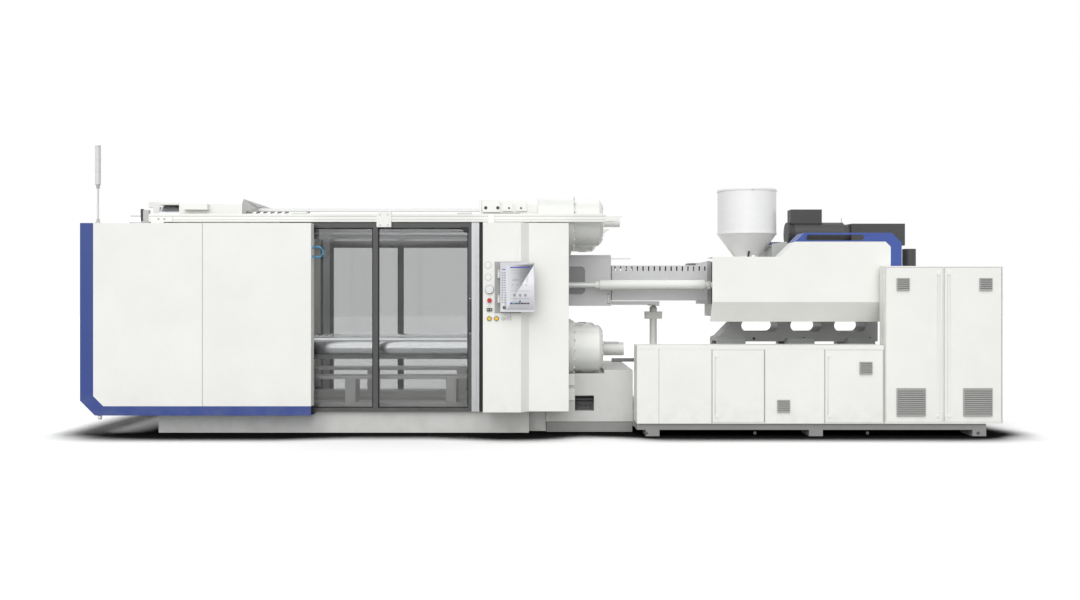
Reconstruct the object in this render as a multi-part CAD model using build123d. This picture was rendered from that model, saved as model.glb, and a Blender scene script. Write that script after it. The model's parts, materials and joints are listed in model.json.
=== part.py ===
from build123d import *
import os

# Injection moulding machine with two platens: clamp unit on the left, injection unit on the right.
# Origin: middle of the footprint on the floor. +X from the clamp to the injection unit, +Z up.
# The operator stands at the front, on the -Y side.

# Envelope
HALF_LENGTH = 4660.0     # the middle of the footprint to either end of the machine
BASE_HALF_W = 970.0      # the centre line to the side of the clamp's base
DOOR_Y = BASE_HALF_W + 30.0     # the centre line to the middle plane of a sliding door
COVER_Y = BASE_HALF_W + 230.0   # the centre line to the faces of guards and cabinets
NOSE_Y = COVER_Y + 100.0        # the centre line to the face of the operator column
AXIS_Z = 1535.0          # height of the screw and mould axis
GUARD_TOP = 2158.0       # top edge of guards and columns
SHEET = 6.0              # folded sheet of covers and doors
SEAT = 0.3               # gap between a moving piece and what it lies on
RUN = 0.06               # radial running clearance of a shaft in its bush

# Clamp bed
PAD_H = 10.0             # levelling pads under every frame
PAD_R = 90.0
BASE_LEFT = 709.0 - HALF_LENGTH   # base frame of the clamp, along the machine
BASE_RIGHT = -128.0
BASE_TOP = 255.0
STEP_HALF_W = BASE_HALF_W - 140.0   # narrower end of the base under the fixed platen
WAY_Y = (BASE_HALF_W - 400.0, BASE_HALF_W - 120.0)   # inner and outer edge of each slideway
CHUTE = (-2900.0, -760.0)  # opening under the mould where the mouldings drop
CHUTE_HALF_W = WAY_Y[0] - 50.0
WAY_TOP = 589.0
WAY_PLATE = 34.0
WAY_SILL = 57.0          # bottom rail of a slideway frame
WAY_POST_W = 111.0
WAY_POST_PITCH = 1052.0
WAY_FIRST_POST = -942.0  # middle of the post next to the fixed platen
WAY_POSTS = 3

# Tie bars, platens and lock cylinders
PLATEN_HALF_W = BASE_HALF_W - 70.0
TIE_Y = PLATEN_HALF_W - 235.0   # the centre line to a tie bar's axis
TIE_Z = 665.0            # the machine's axis to a tie bar's axis, up and down
TIE_R = 115.0
TIE_ROOT_R = 98.0        # bottom of a groove, and the plain tail
TIE_TAIL = 330.0 - HALF_LENGTH   # left end of the bars
GROOVE_PITCH = 75.0
GROOVE_W = 45.0
GROOVES = 12
PISTON_R = 232.0
PISTON_W = 110.0
FIXED_X = (-613.0, -36.0)
PLATEN_TOP = 2437.0
FIXED_BOTTOM = BASE_TOP
MOVING_X = (BASE_LEFT + 188.0, BASE_LEFT + 843.0)
PLATEN_PLATE = 300.0     # solid plate next to the mould; the ribs stand behind it
PLATEN_CUT = 60.0        # cut corners at the top
POCKET_EDGE = 60.0       # from a pocket between the ribs to the seats of the tie bars
POCKET_HALF_H = 200.0    # the middle pocket, above and below the axis
PLATEN_RIB = 100.0
PLATEN_LOW_RIM = 200.0
PLATEN_TOP_RIM = 260.0
PLATEN_GAP = 6.0         # between the moving platen and a tie bar, which never touch
LOCATING_R = 125.0       # locating ring bore in both platens
LOCATING_DEPTH = 60.0
MOULD_HOLE_R = 15.0      # mould clamping holes
MOULD_HOLE_PITCH = 700.0
MOULD_HOLE_DEPTH = 90.0
LOCK_R = 295.0           # lock cylinder housing on the back of the fixed platen
LOCK_LEN = 373.0
LOCK_BORE_R = 233.0
CAP_R = 246.0            # end cap of a lock cylinder
CAP_LEN = 298.0
CAP_EDGE = 32.0
CAP_BORE_R = 150.0
CAP_PAD = (92.0, 70.0, 5.0)  # flat pads on a cap: length, width, height
PLATEN_TRAVEL = 1350.0

# Split nuts on the outside of the moving platen
NUT_LEN = 210.0
NUT_R = 170.0
NUT_TOOTH = 29.0
NUT_TEETH = 2
NUT_EDGE = 30.0          # the platen's face to the first tooth
NUT_OPEN = 66.0          # how far each half stands off when open
NUT_SPLIT = 2.0          # gap between closed halves
NUT_PLATE = 24.0         # guide plates over and under the halves
TOOTH_GAP = 2.0
GROOVE_FIRST = MOVING_X[0] + PLATEN_TRAVEL - NUT_EDGE + TOOTH_GAP   # right end of the grooves

# Ejector
EJECT_STROKE = 250.0
EJECT_ROD_R = 25.0
EJECT_ROD_PITCH = 420.0
EJECT_PLATE = (60.0, 620.0, 300.0)
EJECT_CYL_R = 80.0
EJECT_PISTON_R = 35.0
EJECT_REST = 20.0        # rod ends lie this far behind the mould face

# Travel cylinders of the moving platen, one low at the front and one high at the rear
TRAVEL_YZ = ((-280.0, 845.0), (280.0, 2290.0))
TRAVEL_BORE_R = 52.0
TRAVEL_GLAND = 60.0
TRAVEL_R = 72.0
TRAVEL_ROD_R = 40.0
TRAVEL_BARREL_END = 900.0

# Safety bar over the platens and its latch
SAFETY_Y = -280.0
SAFETY_Z = 2354.0
SAFETY_R = 31.0
SAFETY_LEFT = MOVING_X[0] - 377.0
LATCH = (150.0, 60.0, 40.0)   # length past the pin, width, thickness
LATCH_PIN_R = 10.0
LATCH_PIN = (60.0, 70.0)      # pin from the platen's face, and over the bar's axis
ARM = (508.0, 50.0, 58.0)     # bracket arm behind the moving platen: length, width, height
ARM_Y = -360.0
ARM_Z = 2386.0
ARM_POST = (68.0, 84.0)
TERMINAL_BOX = (250.0, 60.0, 63.0)

# Guards: the left covers, the operator columns and the sliding doors
BAND_W = 133.0           # coloured corner band at the machine's end
BAND_H = 94.0            # coloured band along the bottom
COVER_BOTTOM = 213.0
COVER_CHAMFER = 150.0
FRONT_COVER_RIGHT = -2327.0
REAR_COVER_RIGHT = -2692.0
PANEL_SPLIT = -3422.0
PANEL_GAP = 8.0
COLUMN_LEFT = -586.0
REAR_COLUMN_LEFT = -800.0
COLUMN_RIGHT = 275.0
NOSE_RIGHT = -205.0
NOSE_SLANT = 78.0
RAIL_X = (BASE_LEFT - 75.0, 662.0)
RAIL_Z = (2180.0, 2265.0)
RAIL_W = 80.0
RAIL_POST = 35.0
RAIL_NECK = (126.0, 196.0)   # bracket from the rail to the fixed platen, from the column's left side
DOOR_T = 46.0
DOOR_BOTTOM = 234.0
DOOR_BAR = 51.0
DOOR_TOP_BAR = 56.0
DOOR_LOW_BAR = 38.0
DOOR_EDGE_W = 79.0       # drawn aluminium edge profile
DOOR_SEAL_W = 34.0
DOOR_SIDE_BAR = 34.0
FRONT_DOOR = (-2690.0, -604.0)
REAR_DOOR = (-2687.0, -850.0)
FRONT_STRIKE_X = -600.0
REAR_STRIKE_X = -2780.0
REAR_TOP_BAR = 150.0
GLASS_T = 8.0
HANGER_W = 150.0
HANGER_T = 8.0
HANGER_GAP = 3.0
HANGER_INSET = 130.0     # keeps the left hanger behind the rail off the rail's post

# Operator panel and its switches on the column
HMI = (341.0, 492.0, 60.0)    # width, height, depth
HMI_LEFT = -410.0
HMI_BOTTOM = 1262.0
HMI_STAND_OFF = 36.0
HMI_SCREEN = (272.0, 440.0, 3.0)
HMI_PIN_R = 8.0
SWITCH_X = -520.0
ESTOP_Z = 1376.0
ESTOP_R = 20.0
GAUGE_Z = 1486.0
GAUGE_R = 42.0
SOCKET_Z = 1284.0
PLUG_Z = (1730.0, 1610.0)
PLUG_R = 34.0
BUTTON_Z = 1194.0
BUTTON_X = (-522.0, -450.0, -389.0, -318.0)
BUTTON_R = (18.0, 18.0, 12.0, 12.0)
BUTTON_STEM_R = 6.0
BUTTON_TRAVEL = 4.0
BUTTON_PROUD = 12.0
BEZEL_T = 4.0

# Signal lamp on the end cover
LAMP_XY = (149.0 - HALF_LENGTH, 80.0 - COVER_Y)
LAMP_POLE_R = 10.0
LAMP_R = 28.0
LAMP_Z = (2551.0, 2952.0)

# Nozzle guard and middle bed
MID_X = (48.0, 952.0)
MID_HALF_W = BASE_HALF_W - 120.0
MID_Z = (112.0, 560.0, 612.0, 650.0)    # underside and the three decks
MID_STEP_X = (345.0, 655.0)      # where the deck steps up, clear of the lower lock cylinders
MID_RECESS = (350.0, 548.0, 224.0, 383.0, 120.0)   # x, z and depth of the side pocket
MID_FEET_X = (150.0, 850.0)
GUARD_X = (-20.0, 753.0)
GUARD_HALF_W = 440.0
GUARD_Z = (1317.0, 1867.0)
GUARD_T = 8.0
GUARD_SLIDE = 380.0
GUARD_WINDOW = (171.0, 300.0)
GUARD_RAIL = (35.0, 39.0)        # width and height of a rail inside the guard
GUARD_RAIL_Y = GUARD_HALF_W - GUARD_T - 12.0    # outer side of a rail
GUARD_RAIL_Z = GUARD_Z[0] + 11.0                # underside of a rail
GUARD_SHOE = (60.0, 22.0)        # length and height of the guard's shoes on the rails

# Injection unit: carriage, barrel and drive
BED_X = (964.0, HALF_LENGTH)
BED_TOP = 870.0          # top of the carriage ways
BED_WAY_Y = (150.0, 290.0)
BED_WAY_LEFT = 1110.0
BED_FLOOR_Z = (65.0, 131.0)
FOOT_W = 141.0
FEET_X = (BED_X[0] + 161.0, sum(BED_X) / 2 - 32.0, BED_X[1] - 226.0)
CARRIAGE_X = (1940.0, 3724.0)
CARRIAGE_NOSE = (2120.0, 975.0)     # x where the sloped left end meets the deck, z where it begins
CARRIAGE_Z = (921.0, 1200.0)
CARRIAGE_HALF_W = 185.0
CARRIAGE_SHOE = 300.0
SLOT_X = (2214.0, 2757.0, 3241.0)   # left ends of the round-ended holes in the carriage
SLOT_W = (402.0, 342.0, 346.0)
SLOT_Z = (1032.0, 1164.0)
BARREL_R = 120.0
BARREL_X = (420.0, 2500.0)
BORE_R = 60.0
NOZZLE_X = 230.0
NOZZLE_R = 40.0
ORIFICE_R = 6.0
BAND_COUNT = 6
BAND_LEN = 150.0
BAND_PITCH = 190.0
BAND_FIRST = 700.0
BAND_T = 18.0
COVER_TUBE_X = (762.0, 1842.0)
COVER_TUBE_HALF_W = 400.0
COVER_TUBE_Z = (1375.0, 1755.0)
COVER_TICKS = 17
COVER_TICK_PITCH = 61.0
COVER_TICK = (14.0, 49.0)
COVER_FLANGE = (45.0, 1337.0, 1803.0)
HOUSING_X = (1880.0, 2520.0)     # feed housing around the barrel's end
HOUSING_HALF_W = 300.0
HOUSING_TOP = 1700.0
SCREW_R = 59.0
SCREW_ROOT_R = 42.0
SCREW_TIP = 700.0
FLIGHT_PITCH = 118.0
FLIGHT_W = 14.0
FLIGHTS = 14
COUPLING_R = 110.0
THRUST_X = (2960.0, 3180.0)      # crosshead that carries the screw's thrust bearing
THRUST_HALF_W = 560.0
THRUST_Z = (1330.0, 1800.0)
INJECT_CYL_Y = 440.0
INJECT_CYL_R = 85.0
INJECT_CYL_END = 2600.0
INJECT_BORE_R = 65.0
INJECT_PISTON_X = 2230.0
INJECT_ROD_R = 45.0
END_PLATE_X = (3510.0, 3590.0)   # plate that ties the guide rods together
GUIDE_R = 40.0
GUIDE_YZ = ((-240.0, 1400.0), (240.0, 1400.0))
FLANGE_T = 48.0          # wide plate at the housing's front
FLANGE_HALF_W = 620.0
CAR_CYL_Y = 556.0        # cylinders that pull the carriage to the fixed platen
CAR_CYL_Z = 1540.0
CAR_CYL_R = 54.0
CAR_ROD_R = 32.0
CAR_CYL_X = (638.0, 1719.0)
CAR_GLAND = 60.0
CAR_PISTON_X = 1040.0
CAR_BORE_R = 42.0

# Hopper
HOPPER_X = 2308.0
HOPPER_R = 325.0
HOPPER_Z = (1824.0, 1868.0, 2122.0, 2588.0)   # seat, neck, seam and rim
HOPPER_NECK_R = 144.0
HOPPER_WALL = 4.0
LID_T = 3.0
LID_RIM = 30.0
GATE_T = 8.0

# Injection covers and the drive on top
SHROUD_Y = COVER_Y - 190.0
SHROUD_DEPTH = 300.0
SHROUD_X = (1756.0, 2456.0, 2609.0, 3590.0)
SHROUD_Z = (1154.0, 1359.0, 1824.0, 1980.0)
SHROUD_TUCK = 150.0
SHROUD_CORNER = 52.0     # cut corner at the cover's upper right
SHROUD_REAR = (2100.0, 1400.0)   # the rear cover's lower edge is higher to the left of this x
ARCH_TOP = 2071.0
ARCH_RIGHT = 3703.0
ARCH_CHAMFER = 103.0
ARCH_BOTTOM = 1500.0
ARCH_SLOT = (2713.0, 3314.0, 1993.0, 2050.0)
DRIVE_Z = 2120.0
DRIVE_R = 130.0
DRIVE_X = (2750.0, 3379.0)
DRIVE_BOX = (2783.0, 3132.0, 2251.0, 2391.0)
DRIVE_SMALL = (3440.0, 4036.0, 1985.0, 2228.0)
DRIVE_SMALL_HALF_W = 150.0
DRIVE_NECK_R = 108.0     # neck between the motor and the gearbox
DECK_Z = (1950.0, 1985.0)
DECK_HALF_W = 300.0
DECK_X = (2550.0, 3700.0)

# Cabinets of the injection unit
TALL_W = 1194.0
TALL_X = (HALF_LENGTH - TALL_W, HALF_LENGTH)
TALL_SPLIT = sum(TALL_X) / 2
TALL_TOP = 1723.0
TALL_DEPTH = 600.0
TALL_NARROW = (TALL_X[0] + 274.0, 165.0)    # the left part is shallow up to this x, and this deep
TALL_WALL = 10.0
COOLER = (TALL_X[0] + 420.0, 500.0 - COVER_Y, 69.0, 196.0)   # x, y, radius and height
CAB_TOP = 923.0
REAR_CAB_TOP = 800.0
REAR_CAB_LEFT = 1190.0
CAB_BOTTOM = 131.0
CAB_LIP = 44.0
CAB_RIGHT = TALL_X[0] - 8.0
CAB_DEPTH = 340.0
CAB_BAYS = (("panel", 222.0), ("panel", 532.0), ("door", 539.0), ("panel", 600.0), ("door", 601.0))
CAB_GAP = 4.0
HINGE_R = 9.0            # half the thickness of a door leaf, and its rounded hinge edge
PIN_R = 5.0
PIN_REACH = 30.0
VENT_T = 18.0
VENTS_SMALL = ((TALL_X[0] + 183.0, 1539.0), (TALL_X[1] - 176.0, 1539.0))
VENT_SMALL = 126.0
VENTS_LARGE = ((TALL_X[0] + 264.0, 350.0), (TALL_X[1] - 257.0, 350.0))
VENT_LARGE = (290.0, 283.0)
VENTS_BASE = ((CAB_RIGHT - 1015.0, 310.0), (CAB_RIGHT - 184.0, 694.0))   # on a panel and a door
LATCH_R = 19.0
POST_X = 1257.0
POST_R = 45.0
POST_Z = 1316.0
POST_CLAMP_Z = (1169.0, 1251.0)

# Splits between the bays of the base cabinet
CAB_SPLITS = [BED_X[0]]
for _, width in CAB_BAYS:
    CAB_SPLITS.append(CAB_SPLITS[-1] + width * (CAB_RIGHT - BED_X[0]) / sum(bay[1] for bay in CAB_BAYS))
CAB_DOORS = [index for index, (kind, _) in enumerate(CAB_BAYS) if kind == "door"]

TIE_YZ = [(y, AXIS_Z + z) for y in (-TIE_Y, TIE_Y) for z in (-TIE_Z, TIE_Z)]
parts = {}


# Shapes placed by their limits
def block(x, y, z):
    """Box between a low and a high limit along each axis."""
    limits = (x, y, z)
    centre = [(high + low) / 2 for low, high in limits]
    return Pos(*centre) * Box(*[high - low for low, high in limits])


def rod_x(radius, x, y, z):
    """Cylinder along X between the two limits in x."""
    return Pos((x[0] + x[1]) / 2, y, z) * Rot(0, 90, 0) * Cylinder(radius, x[1] - x[0])


def rod_y(radius, x, y, z):
    """Cylinder along Y between the two limits in y."""
    return Pos(x, (y[0] + y[1]) / 2, z) * Rot(90, 0, 0) * Cylinder(radius, y[1] - y[0])


def rod_z(radius, x, y, z):
    """Cylinder along Z between the two limits in z."""
    return Pos(x, y, (z[0] + z[1]) / 2) * Cylinder(radius, z[1] - z[0])


def side_plate(points, y):
    """Outline in X and Z, extruded between the two limits in y."""
    return extrude(Plane.XZ.offset(-y[1]) * make_face(Polyline(*points, close=True)), y[1] - y[0])


def floor_plan(points, z):
    """Outline in X and Y, extruded between the two limits in z."""
    return extrude(Plane.XY.offset(z[0]) * make_face(Polyline(*points, close=True)), z[1] - z[0])


def end_plate(points, x):
    """Outline in Y and Z, extruded between the two limits in x."""
    return extrude(Plane.YZ.offset(x[0]) * make_face(Polyline(*points, close=True)), x[1] - x[0])


def turned(points, y, z):
    """Outline of x against radius, turned about the line along X through y and z."""
    face = Plane.XY * make_face(Polyline(*points, close=True))
    return Pos(0, y, z) * revolve(face, Axis.X)


def at_back(shape):
    """The same shape on the other side of the centre line."""
    return mirror(shape, about=Plane.XZ)


def both(shape):
    """A shape and its mirror image across the centre line."""
    return [shape, at_back(shape)]


def keep(name, *shapes):
    """Store one node, as a solid or as a group of separate solids."""
    solids = []
    for shape in shapes:
        solids += shape.solids()
    parts[name] = solids[0] if len(solids) == 1 else Compound(children=solids)


def grow(span, amount):
    """A span that reaches further at both ends."""
    return (span[0] - amount, span[1] + amount)


# Clamp bed, pads and slideways
def clamp_bed():
    side = (-BASE_HALF_W, BASE_HALF_W)
    tray = block((BASE_LEFT, BASE_RIGHT), side, (PAD_H, BASE_TOP))
    tray += block((BASE_RIGHT, MID_X[0]), (-STEP_HALF_W, STEP_HALF_W), (PAD_H, BASE_TOP))
    tray -= block(CHUTE, (-CHUTE_HALF_W, CHUTE_HALF_W), (0, BASE_TOP + 1))
    way_right = FIXED_X[0]
    way = block((BASE_LEFT, way_right), WAY_Y, (WAY_TOP - WAY_PLATE, WAY_TOP))
    way += block((BASE_LEFT, way_right), WAY_Y, (BASE_TOP, BASE_TOP + WAY_SILL))
    for i in range(WAY_POSTS):
        middle = WAY_FIRST_POST - i * WAY_POST_PITCH
        span = grow((middle, middle), WAY_POST_W / 2)
        way += block(span, WAY_Y, (BASE_TOP, WAY_TOP - WAY_PLATE))
    return tray + both(way)


def pads():
    spots = [(BASE_LEFT + 200, BASE_HALF_W - 150), (BASE_RIGHT - 200, BASE_HALF_W - 150)]
    spots.append(((BASE_LEFT + BASE_RIGHT) / 2, BASE_HALF_W - 150))
    return [pad for x, y in spots for pad in both(rod_z(PAD_R, x, y, (0, PAD_H)))]


# Platens
def mould_holes(face_x, into):
    """Clamping holes and locating bore in a mould face; into is the direction into the platen."""
    tools = [rod_x(LOCATING_R, sorted((face_x, face_x + into * LOCATING_DEPTH)), 0, AXIS_Z)]
    for y in (-MOULD_HOLE_PITCH / 2, MOULD_HOLE_PITCH / 2):
        for z in (-MOULD_HOLE_PITCH / 2, MOULD_HOLE_PITCH / 2):
            depth = sorted((face_x, face_x + into * MOULD_HOLE_DEPTH))
            tools.append(rod_x(MOULD_HOLE_R, depth, y, AXIS_Z + z))
    return tools


def platen_outline(bottom):
    edge = PLATEN_HALF_W
    cut = PLATEN_CUT
    top = PLATEN_TOP
    return [(-edge, bottom), (edge, bottom), (edge, top - cut), (edge - cut, top),
            (cut - edge, top), (-edge, top - cut)]


def fixed_platen():
    body = end_plate(platen_outline(FIXED_BOTTOM), FIXED_X)
    for y, z in TIE_YZ:
        body -= rod_x(TIE_R + RUN, grow(FIXED_X, 1), y, z)
    body -= rod_x(LOCATING_R, grow(FIXED_X, 1), 0, AXIS_Z)
    for tool in mould_holes(FIXED_X[0], 1)[1:]:
        body -= tool
    pocket = TIE_Y - LOCK_R - POCKET_EDGE
    back = (FIXED_X[0] + PLATEN_PLATE, FIXED_X[1] + 1)
    near = LOCATING_R + 80
    far = TIE_Z - PLATEN_LOW_RIM
    for z in ((AXIS_Z - far, AXIS_Z - near), (AXIS_Z + near, AXIS_Z + far)):
        body -= block(back, (-pocket, pocket), z)
    for y, z in TRAVEL_YZ:
        body -= rod_x(TRAVEL_R, grow(FIXED_X, 1), y, z)
    return body


def moving_platen():
    body = end_plate(platen_outline(WAY_TOP + SEAT), MOVING_X)
    for y, z in TIE_YZ:
        body -= rod_x(TIE_R + PLATEN_GAP, grow(MOVING_X, 1), y, z)
    for tool in mould_holes(MOVING_X[1], -1):
        body -= tool
    for y in (-EJECT_ROD_PITCH / 2, EJECT_ROD_PITCH / 2):
        body -= rod_x(EJECT_ROD_R + RUN, grow(MOVING_X, 1), y, AXIS_Z)
    body -= rod_x(SAFETY_R + PLATEN_GAP, grow(MOVING_X, 1), SAFETY_Y, SAFETY_Z)
    pocket = TIE_Y - NUT_R - POCKET_EDGE
    back = (MOVING_X[0] - 1, MOVING_X[1] - PLATEN_PLATE)
    rib = POCKET_HALF_H + PLATEN_RIB
    middle = (AXIS_Z - POCKET_HALF_H, AXIS_Z + POCKET_HALF_H)
    for z in (middle, (WAY_TOP + PLATEN_LOW_RIM, AXIS_Z - rib), (AXIS_Z + rib, PLATEN_TOP - PLATEN_TOP_RIM)):
        body -= block(back, (-pocket, pocket), z)
    return body


def tie_bar(y, z):
    """Bar with its lock piston at the right, grooves in the middle and a plain tail."""
    piston = FIXED_X[1] + LOCK_LEN / 2
    end = FIXED_X[1] + LOCK_LEN + CAP_LEN - 120
    points = [(TIE_TAIL, 0), (TIE_TAIL, TIE_ROOT_R)]
    for i in reversed(range(GROOVES)):
        right = GROOVE_FIRST - i * GROOVE_PITCH
        points += [(right - GROOVE_PITCH, TIE_ROOT_R), (right - GROOVE_PITCH, TIE_R)]
        points += [(right - GROOVE_W, TIE_R), (right - GROOVE_W, TIE_ROOT_R)]
    points += [(GROOVE_FIRST, TIE_ROOT_R), (GROOVE_FIRST, TIE_R)]
    points += [(piston, TIE_R), (piston, PISTON_R), (piston + PISTON_W, PISTON_R)]
    points += [(piston + PISTON_W, TIE_R), (end, TIE_R), (end, 0)]
    return turned(points, y, z)


def lock_housing(y, z):
    start = FIXED_X[1]
    body = rod_x(LOCK_R, (start, start + LOCK_LEN), y, z)
    body -= rod_x(LOCK_BORE_R, (start + 30, start + LOCK_LEN + 1), y, z)
    return body - rod_x(TIE_R + RUN, (start - 1, start + 31), y, z)


def lock_cap(y, z):
    start = FIXED_X[1] + LOCK_LEN
    end = start + CAP_LEN
    points = [(start, LOCK_BORE_R - 1), (start, CAP_R), (end - CAP_EDGE, CAP_R), (end, CAP_R - CAP_EDGE)]
    points += [(end, 0), (end - 60, 0), (end - 60, CAP_BORE_R), (start + 40, CAP_BORE_R)]
    points += [(start + 40, TIE_R + RUN), (start, TIE_R + RUN)]
    cap = turned(points, y, z)
    middle = (start + end) / 2
    for side in (-1, 1):
        low, high = sorted((z + side * (CAP_R - 10), z + side * (CAP_R + CAP_PAD[2])))
        cap += block(grow((middle, middle), CAP_PAD[0] / 2), grow((y, y), CAP_PAD[1] / 2), (low, high))
    return cap


# Split nuts
def nut_half(y, z, side):
    """One half, open at rest; side is -1 for the half nearer the operator."""
    right = MOVING_X[0] - SEAT
    span = (right - NUT_LEN, right)
    ring = rod_x(NUT_R, span, y, z) - rod_x(TIE_R + 1, grow(span, 1), y, z)
    for i in range(NUT_TEETH):
        tooth_right = MOVING_X[0] - NUT_EDGE - i * GROOVE_PITCH
        tooth = rod_x(TIE_R + 5, (tooth_right - NUT_TOOTH, tooth_right), y, z)
        ring += tooth - rod_x(TIE_ROOT_R + 1, (tooth_right - NUT_TOOTH - 1, tooth_right + 1), y, z)
    inner = y + side * NUT_SPLIT / 2
    outer = y + side * (NUT_R + 1)
    half = ring & block(grow(span, 1), sorted((inner, outer)), grow((z, z), NUT_R + 1))
    return Pos(0, side * NUT_OPEN, 0) * half


def nut_guides():
    span = (MOVING_X[0] - NUT_LEN, MOVING_X[0])
    plates = []
    for y, z in TIE_YZ:
        wide = grow((y, y), NUT_R + NUT_OPEN)
        for side in (-1, 1):
            near = z + side * (NUT_R + SEAT)
            plates.append(block(span, wide, sorted((near, near + side * NUT_PLATE))))
    return plates


# Ejector behind the moving platen
EJECT_BACK = MOVING_X[0] - 40.0


def ejector_plate():
    plate_x = (EJECT_BACK - EJECT_STROKE - EJECT_PLATE[0], EJECT_BACK - EJECT_STROKE)
    body = block(plate_x, grow((0, 0), EJECT_PLATE[1] / 2), grow((AXIS_Z, AXIS_Z), EJECT_PLATE[2] / 2))
    for y in (-EJECT_ROD_PITCH / 2, EJECT_ROD_PITCH / 2):
        body += rod_x(EJECT_ROD_R, (plate_x[1] - 5, MOVING_X[1] - EJECT_REST), y, AXIS_Z)
    return body


def ejector_cylinder():
    start = MOVING_X[1] - PLATEN_PLATE
    left = EJECT_BACK - EJECT_STROKE - EJECT_PLATE[0] + 80
    body = rod_x(EJECT_CYL_R, (EJECT_BACK + 5, start), 0, AXIS_Z)
    return body - rod_x(EJECT_PISTON_R + RUN, (left, start - 40), 0, AXIS_Z)


def ejector_piston():
    left = EJECT_BACK - EJECT_STROKE
    return rod_x(EJECT_PISTON_R, (left, MOVING_X[1] - PLATEN_PLATE - 50 - EJECT_STROKE), 0, AXIS_Z)


# Travel cylinders
def travel_barrel(y, z):
    left = FIXED_X[0]
    body = rod_x(TRAVEL_R, (left, TRAVEL_BARREL_END), y, z)
    body -= rod_x(TRAVEL_BORE_R, (left + TRAVEL_GLAND, TRAVEL_BARREL_END - 30), y, z)
    return body - rod_x(TRAVEL_ROD_R + RUN, (left - 1, left + TRAVEL_GLAND + 1), y, z)


def travel_rod(y, z):
    end = TRAVEL_BARREL_END - 40 - PLATEN_TRAVEL
    rod = rod_x(TRAVEL_ROD_R, (MOVING_X[1], end), y, z)
    return rod + rod_x(TRAVEL_BORE_R - RUN, (end - 40, end), y, z)


# Safety bar over the platens, its latch and the bracket arm
def latch_ears():
    face = MOVING_X[0]
    pin_z = SAFETY_Z + LATCH_PIN[1]
    ears = []
    for side in (-1, 1):
        near = SAFETY_Y + side * (LATCH[1] / 2 + SEAT)
        ear = block((face - LATCH_PIN[0] - 25, face), sorted((near, near + side * 14)), (pin_z - 30, pin_z + 13))
        ears.append(ear)
    pin = rod_y(LATCH_PIN_R, face - LATCH_PIN[0], grow((SAFETY_Y, SAFETY_Y), LATCH[1] / 2 + 14), pin_z)
    return ears[0] + ears[1] + pin


def safety_latch():
    pin_x = MOVING_X[0] - LATCH_PIN[0]
    pin_z = SAFETY_Z + LATCH_PIN[1]
    width = grow((SAFETY_Y, SAFETY_Y), LATCH[1] / 2)
    body = block((pin_x - LATCH[0], pin_x + 20), width, (pin_z - LATCH[2] / 2, pin_z + LATCH[2] / 2))
    hook_low = SAFETY_Z + SAFETY_R + SEAT
    body += block((pin_x - LATCH[0], pin_x - LATCH[0] + 40), width, (hook_low, pin_z))
    return body - rod_y(LATCH_PIN_R + RUN, pin_x, grow(width, 1), pin_z)


def safety_bar():
    right = FIXED_X[0]
    bar = rod_x(SAFETY_R, (SAFETY_LEFT, right), SAFETY_Y, SAFETY_Z)
    return bar + block((right - 27, right), grow((SAFETY_Y, SAFETY_Y), 80), grow((SAFETY_Z, SAFETY_Z), 70))


def platen_arm():
    face = MOVING_X[0]
    width = grow((ARM_Y, ARM_Y), ARM[1] / 2)
    arm = block((face - ARM[0], face), width, (ARM_Z, ARM_Z + ARM[2]))
    post_right = face - ARM[0] + 120
    return arm + block((post_right - ARM_POST[0], post_right), width, (ARM_Z - ARM_POST[1], ARM_Z + 1))


def terminal_box():
    side = -PLATEN_HALF_W
    left = MOVING_X[0] + 63
    top = PLATEN_TOP - 60
    return block((left, left + TERMINAL_BOX[0]), (side - TERMINAL_BOX[1], side), (top - TERMINAL_BOX[2], top))


# Left covers with their coloured corner band, one on each side of the machine
END_X = -HALF_LENGTH
COVER_RETURN_Y = DOOR_Y + 60.0
BAND_TOP_Z = COVER_BOTTOM + BAND_H


def side_cover(right, split_x):
    """White panels of a left cover: a face, a roof and a side, made of folded sheet."""
    left = END_X + BAND_W
    inner = 56.0
    face_points = [(left, BAND_TOP_Z + COVER_CHAMFER - inner + 8), (left, GUARD_TOP), (right, GUARD_TOP)]
    face_points += [(right, BAND_TOP_Z), (left + COVER_CHAMFER - inner + 8, BAND_TOP_Z)]
    face = side_plate(face_points, (-COVER_Y, SHEET - COVER_Y))
    groove = grow((split_x, split_x), PANEL_GAP / 2)
    face -= block(groove, (-COVER_Y - 1, SHEET / 2 - COVER_Y), (BAND_TOP_Z - 1, GUARD_TOP + 1))
    roof = block((left, right), (SHEET - COVER_Y, -COVER_RETURN_Y), (GUARD_TOP - SHEET, GUARD_TOP))
    side = block((right - SHEET, right), (SHEET - COVER_Y, -COVER_RETURN_Y), (BAND_TOP_Z, GUARD_TOP - SHEET))
    return face + roof + side


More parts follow.
